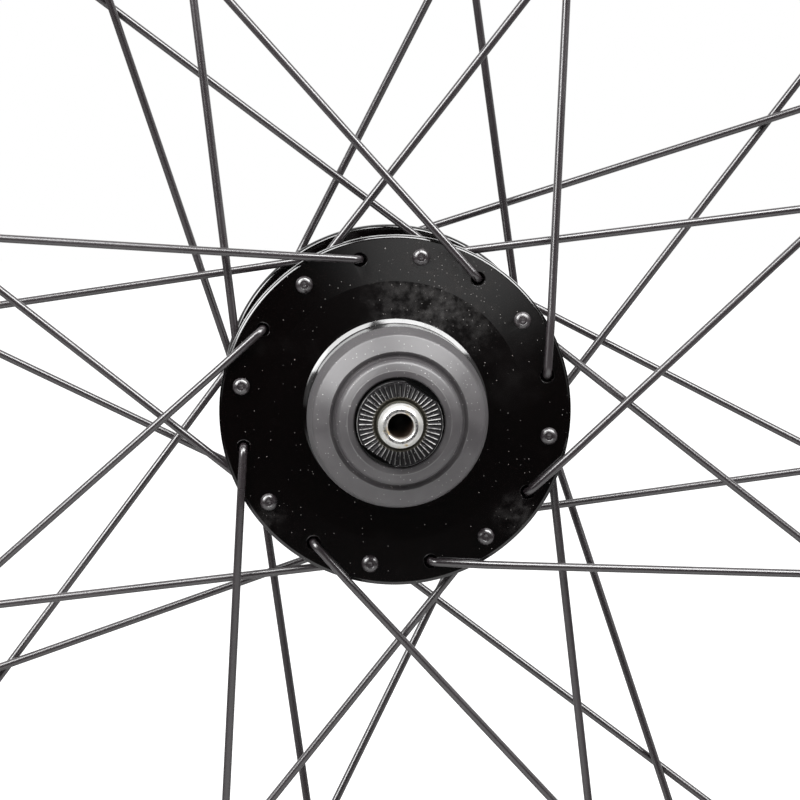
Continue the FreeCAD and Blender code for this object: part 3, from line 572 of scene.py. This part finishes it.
def turnPiece(name, rings, sides, side=1):
    # a circle is drawn from ring to ring round the axle and closed on itself
    radius, depth = rings[0]
    piece = startCircle(radius, (0, side * depth * mm, 0), sides)
    for (radius, depth), (nextRadius, nextDepth) in zip(rings, rings[1:] + rings[:1]):
        pullRing(side * (nextDepth - depth), nextRadius / radius, (0, side * nextDepth * mm, 0))
    bpy.ops.mesh.select_all(action="SELECT")
    bpy.ops.mesh.remove_doubles(threshold=weldGap)
    bpy.ops.mesh.normals_make_consistent(inside=False)
    bpy.ops.object.mode_set(mode="OBJECT")
    piece.name = piece.data.name = name
    return piece


def arcRings(centreRadius, centreDepth, size, firstAngle, lastAngle, steps):
    rings = []
    for step in range(steps + 1):
        angle = math.radians(firstAngle + (lastAngle - firstAngle) * step / steps)
        rings.append((centreRadius + size * math.cos(angle), centreDepth + size * math.sin(angle)))
    return rings


def useModifier(piece, kind, **settings):
    selectOnly(piece)
    bpy.ops.object.modifier_add(type=kind)
    modifier = piece.modifiers[-1]
    for name, value in settings.items():
        setattr(modifier, name, value)
    bpy.ops.object.modifier_apply(modifier=modifier.name)


def smoothEdges(piece, angle):
    selectOnly(piece)
    bpy.ops.object.shade_smooth_by_angle(angle=math.radians(angle))
    useModifier(piece, "WEIGHTED_NORMAL", keep_sharp=True)


def cutAway(piece, cutter):
    useModifier(piece, "BOOLEAN", operation="DIFFERENCE", solver="EXACT", object=cutter)
    bpy.data.objects.remove(cutter, do_unlink=True)


def fitPiece(piece, node, body):
    piece.data.materials.clear()
    piece.data.materials.append(materials[slotOf[node]])
    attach(piece, body)
    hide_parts(node)


# rubber boot round the left locknut

bootSize = {
    "bore": 7.52, "opening": 9.50, "bevel": 0.3, "crest": 11.06, "crestWidth": 0.2, "crestDrop": 0.04,
    "ring": 13.42, "ringRound": 1.7, "ringDepth": 44.88, "groove": 14.75, "grooveDepth": 42.9,
    "faceDepth": 43.7, "shoulder": 18.5, "shoulderRound": 1.05, "shoulderDepth": 41.3, "rim": 19.45,
    "rimDepth": 36.0, "back": 44.48, "front": 47.0, "hollow": 39.7, "sleeve": 35.8, "wall": 2.0, "sides": 224,
    "skirt": [(0.40, 2.6), (0.14, 0.85), (0.02, 0.45), (0.0, 0.0), (0.05, -0.5), (0.3, -0.6)],
}  # the skirt's rings are (in from the rim, in front of its depth)


def makeBoot():
    size = bootSize
    bevel, ring, groove, floor = size["bevel"], size["ring"], size["groove"], size["grooveDepth"]
    rings = [(size["bore"], size["back"]), (size["opening"], size["back"])]
    rings += [(size["opening"], size["front"] - bevel), (size["opening"] + bevel, size["front"])]
    rings += [(size["crest"] - size["crestWidth"], size["front"])]
    rings += [(size["crest"], size["front"] - size["crestDrop"])]
    rings += arcRings(ring - size["ringRound"], size["ringDepth"], size["ringRound"], 66, 0, 6)
    rings += [(ring + 0.03, floor + bevel), (ring + bevel, floor)]
    rings += [(groove - 0.75, floor), (groove - 0.45, floor + bevel)]
    rings += [(groove - 0.15, size["faceDepth"] - 0.12), (groove + 0.1, size["faceDepth"])]
    rings += arcRings(size["shoulder"] - size["shoulderRound"], size["shoulderDepth"], size["shoulderRound"],
                      64, 14, 6)
    rings += [(size["rim"] - inward, size["rimDepth"] + ahead) for inward, ahead in size["skirt"]]
    rings += [(size["rim"] - size["wall"], rings[-1][1]), (size["shoulder"] - size["wall"], size["hollow"])]
    rings += [(size["bore"] + size["wall"], size["hollow"]), (size["bore"] + size["wall"], size["sleeve"])]
    rings += [(size["bore"], size["sleeve"])]
    boot = turnPiece("sealBoot", rings, size["sides"], side=-1)
    smoothEdges(boot, 32)
    fitPiece(boot, "left_seal_boot", "axle_unit")


makeBoot()
print("boot made")


# locknuts

nutSize = {
    "bore": 5.02, "recess": 5.6, "recessDrop": 0.2, "toothStart": 5.9, "bevelStart": 8.55, "rimStart": 8.8,
    "radius": 9.05, "inner": 44.5, "outer": 50.0, "rimDrop": 0.46, "bevel": 0.2, "countersink": 0.85,
    "flats": 16.0, "flatAngle": 56.3, "teeth": 48, "stepsPerTooth": 6, "toothDepth": 0.44, "startShare": 0.75,
    "notchSteps": {1: 0.38, 2: 0.82, 3: 1.0, 4: 0.82, 5: 0.38},
}


def makeNut(name, node, side):
    size = nutSize
    rimDepth = size["outer"] - size["rimDrop"]
    rings = [(size["bore"], size["inner"]), (size["radius"] - size["bevel"], size["inner"])]
    rings += [(size["radius"], size["inner"] + size["bevel"]), (size["radius"], rimDepth - size["bevel"])]
    rings += [(size["radius"] - size["bevel"] / 2, rimDepth), (size["rimStart"], rimDepth)]
    rings += [(size["bevelStart"], size["outer"]), (size["toothStart"], size["outer"])]
    rings += [(size["recess"], size["outer"] - size["recessDrop"])]
    rings += [(size["bore"], size["outer"] - size["countersink"])]
    sides = size["teeth"] * size["stepsPerTooth"]
    nut = turnPiece(name, rings, sides, side)
    cutTeeth(nut, side, sides)
    cutFlats(nut)
    smoothEdges(nut, 20)
    fitPiece(nut, node, "axle_unit")


def cutTeeth(nut, side, sides):
    # the lines of the face sink by their share of a notch, less at its inner end
    size = nutSize
    near = 0.05
    for radius, share in ((size["toothStart"], size["startShare"]), (size["bevelStart"], 1.0)):
        for step, part in size["notchSteps"].items():
            bpy.ops.object.mode_set(mode="EDIT")
            bpy.ops.mesh.select_all(action="DESELECT")
            bpy.ops.object.mode_set(mode="OBJECT")
            for vertex in nut.data.vertices:
                x, y, z = vertex.co / mm
                if abs(math.hypot(x, z) - radius) < near and abs(abs(y) - size["outer"]) < near:
                    line = round(math.atan2(z, x) / math.tau * sides)
                    vertex.select = line % size["stepsPerTooth"] == step
            bpy.ops.object.mode_set(mode="EDIT")
            sink = -side * size["toothDepth"] * share * part * mm
            bpy.ops.transform.translate(value=(0, sink, 0))
            bpy.ops.object.mode_set(mode="OBJECT")


def cutFlats(nut):
    size = nutSize
    selectOnly(nut)
    for angle in (size["flatAngle"], size["flatAngle"] + 180):
        turn = math.radians(angle)
        normal = (math.cos(turn), 0, math.sin(turn))
        bpy.ops.object.mode_set(mode="EDIT")
        bpy.ops.mesh.select_all(action="SELECT")
        bpy.ops.mesh.bisect(plane_co=[value * size["flats"] / 2 * mm for value in normal], plane_no=normal,
                            use_fill=True, clear_outer=True)
        bpy.ops.object.mode_set(mode="OBJECT")


makeNut("toothedNutLeft", "left_locknut", -1)
makeNut("toothedNutRight", "right_locknut", 1)
print("locknuts made")


# axle

axleSize = {
    "end": [(2.70, 0.55), (2.78, 0.26), (2.98, 0.08), (3.15, 0.02), (3.21, 0.0), (3.58, 0.0), (3.74, 0.08),
            (4.20, 0.48), (4.61, 0.94), (4.72, 1.15), (4.75, 1.5)],  # radius, depth below the tip
    "tip": 54.0, "threadEnd": 50.25, "nutDepth": 50.0, "thread": 5.0, "leftShoulder": 23.5,
    "rightShoulder": 24.5, "body": 6.2, "bodyBevel": 0.3, "grooveWidth": 1.5, "grooveStart": 10.75,
    "grooveEnd": 42.5, "grooveFloor": 3.65, "grooveTool": 10.0, "sides": 128,
}


def axleEnd(side):
    # from the bore's mouth over the tip and its taper to the thread
    size = axleSize
    rings = [(radius, size["tip"] - below) for radius, below in size["end"]]
    rings += [(rings[-1][0], size["threadEnd"]), (size["thread"], size["nutDepth"])]
    return [(radius, side * depth) for radius, depth in rings]


def makeAxle():
    size = axleSize
    bevel = size["bodyBevel"]
    rings = axleEnd(-1)
    rings += [(size["thread"], -size["leftShoulder"]), (size["body"], -size["leftShoulder"] + bevel)]
    rings += [(size["body"], size["rightShoulder"] - bevel), (size["thread"], size["rightShoulder"])]
    rings += axleEnd(1)[::-1]
    axle = turnPiece("hollowAxle", rings, size["sides"])
    middle = (size["grooveStart"] + size["grooveEnd"]) / 2
    height = size["grooveFloor"] + size["grooveTool"] / 2
    dropSelection()
    bpy.ops.mesh.primitive_cube_add(size=1, location=(0, middle * mm, height * mm))
    groove = bpy.context.active_object
    length = size["grooveEnd"] - size["grooveStart"]
    groove.scale = (size["grooveWidth"] * mm, length * mm, size["grooveTool"] * mm)
    bpy.ops.object.transform_apply(location=True, rotation=True, scale=True)
    cutAway(axle, groove)
    smoothEdges(axle, 35)
    fitPiece(axle, "axle", "axle_unit")


makeAxle()
print("axle made")


# hub shell and cover

hubSize = {
    "throat": 8.0, "bore": 14.52, "bevel": 0.3, "boss": 19.3, "bossRound": 0.5,
    "root": [(0.0, 0.65), (0.08, 0.53), (0.90, 0.04), (1.04, 0.0)],  # out from the boss, above the face
    "step": 28.4, "stepHalf": 0.08, "stepDrop": 0.005, "crown": 0.04, "edgeDrop": 0.18, "flange": 38.4,
    "edge": [(0.76, 0.0), (0.66, 0.02), (0.36, 0.20), (0.32, 0.45), (0.12, 0.50), (0.03, 0.56), (0.0, 0.68)],
    "thickness": 3.0, "drum": 30.05, "drumBore": 27.55, "drumEnd": 25.48, "drumFoot": 0.4, "endBevel": 0.15,
    "spigot": 3.0, "spigotRadius": 27.53, "spigotWall": 2.0, "holeCircle": 34.0, "holes": 16, "hole": 1.3,
    "flare": [(0.9, 0.6), (0.9, 0.12), (0.56, 0.02), (0.30, -0.12), (0.12, -0.30), (0.02, -0.55)],
    "sides": 256, "holeSides": 40,
}  # the edge is (in from the flange, below its front), the flare is (out from the hole, above the face)
hubPlaces = {
    "left": {"inner": 21.0, "seat": 26.48, "bossEnd": 35.0, "side": -1, "holeAngle": 13.07, "backRound": 0.3},
    "right": {"inner": 25.5, "seat": 27.48, "bossEnd": 36.0, "side": 1, "holeAngle": 1.82, "backRound": 1.1},
}


def flangeRings(place):
    size = hubSize
    inner = place["inner"]
    outer = inner + size["thickness"]
    floor = outer + size["crown"]
    front = outer - size["edgeDrop"]
    end = place["bossEnd"]
    rings = [(size["throat"], inner), (size["throat"], place["seat"]), (size["bore"], place["seat"])]
    rings += [(size["bore"], end - size["bevel"]), (size["bore"] + size["bevel"], end)]
    rings += arcRings(size["boss"] - size["bossRound"], end - size["bossRound"], size["bossRound"], 90, 0, 4)
    rings += [(size["boss"] + out, floor + above) for out, above in size["root"]]
    rings += [(size["step"] - size["stepHalf"], floor)]
    rings += [(size["step"] + size["stepHalf"], floor - size["stepDrop"])]
    rings += [(size["flange"] - inward, front - below) for inward, below in size["edge"]]
    curve = place["backRound"]
    return rings + arcRings(size["flange"] - curve, inner + curve, curve, 0, -90, 6)


def makeHoleCutters(place):
    # one hole with flared mouths is modelled and copied round the flange
    size = hubSize
    side = place["side"]
    outer = place["inner"] + size["thickness"]
    rings = [(size["hole"] + wider, outer + above) for wider, above in size["flare"]]
    rings += [(size["hole"] + wider, place["inner"] - above) for wider, above in size["flare"][::-1]]
    turn = math.radians(place["holeAngle"])
    x, z = (size["holeCircle"] * mm * value for value in (math.cos(turn), math.sin(turn)))
    radius, depth = rings[0]
    cutter = startCircle(radius, (x, side * depth * mm, z), size["holeSides"], fill="NGON")
    for nextRadius, nextDepth in rings[1:]:
        move = (0, side * (nextDepth - depth) * mm, 0)
        bpy.ops.mesh.extrude_region_move(TRANSFORM_OT_translate={"value": move})
        scale = nextRadius / radius
        bpy.ops.transform.resize(value=(scale, 1, scale), center_override=(x, side * nextDepth * mm, z))
        radius, depth = nextRadius, nextDepth
    bpy.ops.mesh.select_all(action="SELECT")
    bpy.ops.mesh.normals_make_consistent(inside=False)
    bpy.ops.object.mode_set(mode="OBJECT")
    cutters = [cutter]
    for number in range(1, size["holes"]):
        selectOnly(cutter)
        bpy.ops.object.duplicate()
        bpy.ops.transform.rotate(value=math.tau * number / size["holes"], orient_axis="Y",
                                 center_override=(0, 0, 0))
        bpy.ops.object.transform_apply(location=True, rotation=True, scale=True)
        cutters.append(bpy.context.active_object)
    for piece in cutters:
        piece.select_set(True)
    bpy.ops.object.join()
    return bpy.context.active_object


def makeHubPart(name, node, place, rings):
    part = turnPiece(name, flangeRings(place) + rings, hubSize["sides"], place["side"])
    cutAway(part, makeHoleCutters(place))
    smoothEdges(part, 35)
    fitPiece(part, node, "wheel")


def drumRings():
    size = hubSize
    inner = hubPlaces["left"]["inner"]
    end = -size["drumEnd"]
    foot, bevel = size["drumFoot"], size["endBevel"]
    rings = [(size["drum"] + foot, inner), (size["drum"], inner - foot), (size["drum"], end + bevel)]
    return rings + [(size["drum"] - bevel, end), (size["drumBore"], end), (size["drumBore"], inner)]


def spigotRings():
    size = hubSize
    inner = hubPlaces["right"]["inner"]
    end = inner - size["spigot"]
    wide, bevel = size["spigotRadius"], size["endBevel"]
    bore = wide - size["spigotWall"]
    return [(wide, inner), (wide, end + bevel), (wide - bevel, end), (bore, end), (bore, inner)]


makeHubPart("hubShell", "hub_shell", hubPlaces["left"], drumRings())
makeHubPart("hubCover", "hub_cover", hubPlaces["right"], spigotRings())
print("hub shell and cover made")


# spokes

spokeSize = {
    "radius": 0.9, "lay": 1.0, "holes": 16, "lean": 67.5, "crossings": 3, "rimRadius": 299.0, "sides": 18,
    "bend": 2.0, "edgeBend": 25.0, "crossBend": 150.0, "bendSteps": (8, 4, 4),
    "head": [(0.22, 1.05), (0.34, 1.14), (0.60, 1.16), (0.71, 1.03), (0.86, 1.01), (0.97, 1.10), (1.24, 1.00),
             (1.50, 0.85), (1.70, 0.66), (1.83, 0.44), (1.90, 0.22), (1.90, 0.05), (1.84, 0.0), (1.35, 0.0),
             (0.9, -0.5)],  # radius, height above the flange
}


def polar(radius, angle, depth):
    turn = math.radians(angle)
    return Vector((radius * math.cos(turn), depth, radius * math.sin(turn)))


def spokeCorners(place, outside, angle):
    # head, elbow, flange edge for a spoke on the outer face, last crossing, rim end
    size = spokeSize
    circle = hubSize["holeCircle"]
    side = place["side"]
    inner = place["inner"]
    outer = inner + hubSize["thickness"]
    headDepth, elbowDepth = (inner, outer + size["lay"]) if outside else (outer, inner - size["lay"])
    lean = size["lean"] if outside == (side < 0) else -size["lean"]
    head = polar(circle, angle, side * headDepth)
    elbow = polar(circle, angle, side * elbowDepth)
    end = polar(size["rimRadius"], angle + lean, 0)
    along = size["rimRadius"] * math.cos(math.radians(size["lean"])) - circle
    across = size["rimRadius"] * math.sin(math.radians(size["lean"]))
    slope = math.tan(math.radians((size["crossings"] - 0.5) * 360 / size["holes"]))
    share = circle * slope / (across - along * slope)
    crossing = elbow + (end - elbow) * share
    pairDepth = (inner + outer) / 2 * (1 - share)
    crossing.y = side * (pairDepth - size["lay"] if outside else pairDepth + size["lay"])
    if not outside:
        return [head, elbow, crossing, end]
    length = math.hypot(along, across)
    half = circle * along / length
    reach = math.sqrt(half ** 2 + (hubSize["flange"] + size["radius"]) ** 2 - circle ** 2) - half
    edge = elbow + (end - elbow) * reach / length
    edge.y = elbow.y
    return [head, elbow, edge, crossing, end]


def makeSpoke(place, outside, angle):
    # the head is turned, then the wire is drawn out along its line
    size = spokeSize
    corners = spokeCorners(place, outside, angle)
    head = corners[0]
    way = -1 if corners[1].y > head.y else 1
    radius, above = size["head"][0]
    spoke = startCircle(radius, (head + Vector((0, way * above, 0))) * mm, size["sides"])
    for nextRadius, nextAbove in size["head"][1:]:
        centre = (head + Vector((0, way * nextAbove, 0))) * mm
        pullRing(way * (nextAbove - above), nextRadius / radius, centre)
        radius, above = nextRadius, nextAbove
    reached = head + Vector((0, way * above, 0))
    bends = [size["bend"], size["edgeBend"], size["crossBend"]]
    if not outside:
        bends.remove(size["edgeBend"])
    joints = zip(corners, corners[1:], corners[2:], bends, size["bendSteps"])
    for before, corner, after, bend, steps in joints:
        back = (before - corner).normalized()
        ahead = (after - corner).normalized()
        halfTurn = (math.pi - back.angle(ahead)) / 2
        first = corner + back * bend * math.tan(halfTurn)
        centre = corner + (back + ahead).normalized() * bend / math.cos(halfTurn)
        bpy.ops.mesh.extrude_edges_move(TRANSFORM_OT_translate={"value": (first - reached) * mm})
        bpy.ops.mesh.spin(steps=steps, angle=2 * halfTurn, center=centre * mm, axis=back.cross(ahead))
        reached = corner + ahead * bend * math.tan(halfTurn)
    bpy.ops.mesh.extrude_edges_move(TRANSFORM_OT_translate={"value": (corners[-1] - reached) * mm})
    bpy.ops.mesh.select_all(action="SELECT")
    bpy.ops.mesh.remove_doubles(threshold=weldGap)
    bpy.ops.mesh.fill_holes(sides=0)
    bpy.ops.mesh.select_all(action="SELECT")
    bpy.ops.mesh.normals_make_consistent(inside=False)
    bpy.ops.object.mode_set(mode="OBJECT")
    bpy.ops.object.shade_smooth_by_angle(angle=math.radians(40))
    return spoke


def makeSpokes(sideName):
    place = hubPlaces[sideName]
    step = 360 / spokeSize["holes"]
    for outside, start in ((True, 0), (False, 1)):
        spoke = makeSpoke(place, outside, place["holeAngle"] + start * step)
        for index in range(start, spokeSize["holes"], 2):
            selectOnly(spoke)
            bpy.ops.object.duplicate()
            copy = bpy.context.active_object
            copy.rotation_euler[1] = -math.radians((index - start) * step)
            bpy.ops.object.transform_apply(location=True, rotation=True, scale=True)
            copy.name = copy.data.name = f"{sideName}Spoke{index + 1:02d}"
            fitPiece(copy, f"spoke_{sideName}_{index + 1:02d}", "wheel")
        bpy.data.objects.remove(spoke, do_unlink=True)


for sideName in hubPlaces:
    makeSpokes(sideName)
print("spokes made")


# studio

studio = {
    "floorReach": 6.0,
    "floorHeight": -317 * mm,
    "floorColour": (0.8, 0.8, 0.8),
    "floorMirrored": (0.035, 0.035, 0.035),
    "floorGlow": (0.35, 1.1, 0.3, 1.0),  # near, far, glow near, glow far
    "ambient": 0.30,
    "glossFront": 0.006,
    "glossSide": 0.45,
    "glossTop": 0.50,
    "glossLow": 0.12,
    "windowWay": (0.0784, -0.9968, 0.0175),
    "windowEdge": (0.99588, 0.99939),
    "windowGlow": 0.48,
    "lamps": {  # place, length, width, roll, power
        "leftSoftbox": ((-0.654, -0.621, 0.713), 0.95, 0.5, 59.5, 10.0),
        "rightSoftbox": ((0.417, -0.597, 0.889), 1.2, 0.5, -42.0, 15.0),
        "fillSoftbox": ((-0.85, -0.85, 0.45), 0.5, 0.5, 0.0, 2.0),
    },
}


def makeFloor():
    # pale floor that glows for the camera; mirrors in the hub see it dark where the viewer stands
    dropSelection()
    reach = studio["floorReach"]
    bpy.ops.mesh.primitive_grid_add(x_subdivisions=8, y_subdivisions=8, size=2 * reach,
                                    location=(0, 0, studio["floorHeight"]))
    floor = bpy.context.active_object
    floor.name = "paleFloor"
    bpy.ops.object.transform_apply(location=True, rotation=True, scale=True)
    material = bpy.data.materials.new("paleFloor")
    material.use_nodes = True
    tree = material.node_tree
    tree.nodes.clear()
    place = put(tree, "ShaderNodeTexCoord")
    path = put(tree, "ShaderNodeLightPath")
    distance = put(tree, "ShaderNodeVectorMath", operation="LENGTH")
    wire(tree, place.outputs["Object"], distance.inputs[0])
    glow = mapRange(tree, distance.outputs["Value"], *studio["floorGlow"])
    seen = math2(tree, "MULTIPLY", glow, path.outputs["Is Camera Ray"])
    parts = put(tree, "ShaderNodeSeparateXYZ")
    wire(tree, place.outputs["Object"], parts.inputs[0])
    far = mapRange(tree, distance.outputs["Value"], 0.35, 1.3, 0.5, 1.0, True)
    front = mapRange(tree, parts.outputs["Y"], 0.0, 0.5, 1.0, 0.3, True)
    dim = math2(tree, "MULTIPLY", math2(tree, "MULTIPLY", far, front), path.outputs["Is Glossy Ray"])
    diffuse = put(tree, "ShaderNodeBsdfDiffuse")
    colour = mixColour(tree, dim, studio["floorColour"], studio["floorMirrored"])
    wire(tree, colour, diffuse.inputs["Color"])
    emission = put(tree, "ShaderNodeEmission", inputs={"Color": (1, 1, 1, 1)})
    wire(tree, seen, emission.inputs["Strength"])
    both = put(tree, "ShaderNodeAddShader")
    wire(tree, diffuse.outputs[0], both.inputs[0])
    wire(tree, emission.outputs[0], both.inputs[1])
    end = put(tree, "ShaderNodeOutputMaterial")
    wire(tree, both.outputs[0], end.inputs["Surface"])
    floor.data.materials.append(material)


def makeWorld():
    # white for the camera; a mirror sees the white backdrop behind the wheel, dim sides, and a dark front
    # with one faint window
    world = bpy.data.worlds.new("studioRoom")
    bpy.context.scene.world = world
    world.use_nodes = True
    tree = world.node_tree
    tree.nodes.clear()
    place = put(tree, "ShaderNodeTexCoord")
    parts = put(tree, "ShaderNodeSeparateXYZ")
    wire(tree, place.outputs["Generated"], parts.inputs[0])
    level = mapRange(tree, parts.outputs["Z"], -0.12, 0.12, studio["glossLow"], studio["glossSide"], True)
    side = mapRange(tree, parts.outputs["Y"], -0.85, -0.25, studio["glossFront"], level, True)
    room = mapRange(tree, parts.outputs["Y"], 0.35, 0.62, side, 1.0, True)
    top = mapRange(tree, parts.outputs["Z"], 0.6, 0.95, 0.0, studio["glossTop"], True)
    room = math2(tree, "MAXIMUM", room, top)
    toward = put(tree, "ShaderNodeVectorMath", operation="DOT_PRODUCT", inputs={1: studio["windowWay"]})
    wire(tree, place.outputs["Generated"], toward.inputs[0])
    low, high = studio["windowEdge"]
    window = mapRange(tree, toward.outputs["Value"], low, high, 0.0, studio["windowGlow"], True)
    room = math2(tree, "ADD", room, window)
    path = put(tree, "ShaderNodeLightPath")
    gloss = math2(tree, "MULTIPLY", path.outputs["Is Glossy Ray"], room)
    seen = math2(tree, "MAXIMUM", path.outputs["Is Camera Ray"], path.outputs["Is Transmission Ray"])
    direct = math2(tree, "MAXIMUM", seen, gloss)
    other = math2(tree, "SUBTRACT", 1.0, math2(tree, "MAXIMUM", seen, path.outputs["Is Glossy Ray"]))
    strength = math2(tree, "ADD", direct, math2(tree, "MULTIPLY", other, studio["ambient"]))
    background = put(tree, "ShaderNodeBackground", inputs={"Color": (1, 1, 1, 1)})
    wire(tree, strength, background.inputs["Strength"])
    end = put(tree, "ShaderNodeOutputWorld")
    wire(tree, background.outputs[0], end.inputs["Surface"])


def addSoftbox(name, place, length, width, roll, power):
    # a rectangle aimed at the hub, rolled so that its long side follows the hub's round
    dropSelection()
    bpy.ops.object.light_add(type="AREA", location=place)
    lamp = bpy.context.active_object
    lamp.name = name
    lamp.data.shape = "RECTANGLE"
    lamp.data.size = length
    lamp.data.size_y = width
    lamp.data.energy = power
    way = lamp.location.copy()
    way.negate()
    lamp.rotation_euler = way.to_track_quat("-Z", "Y").to_euler()
    lamp.rotation_euler.rotate_axis("Z", math.radians(roll))


makeFloor()
makeWorld()
for lampName, lampSize in studio["lamps"].items():
    addSoftbox(lampName, *lampSize)
bpy.context.scene.view_settings.view_transform = "Standard"
print("studio made")
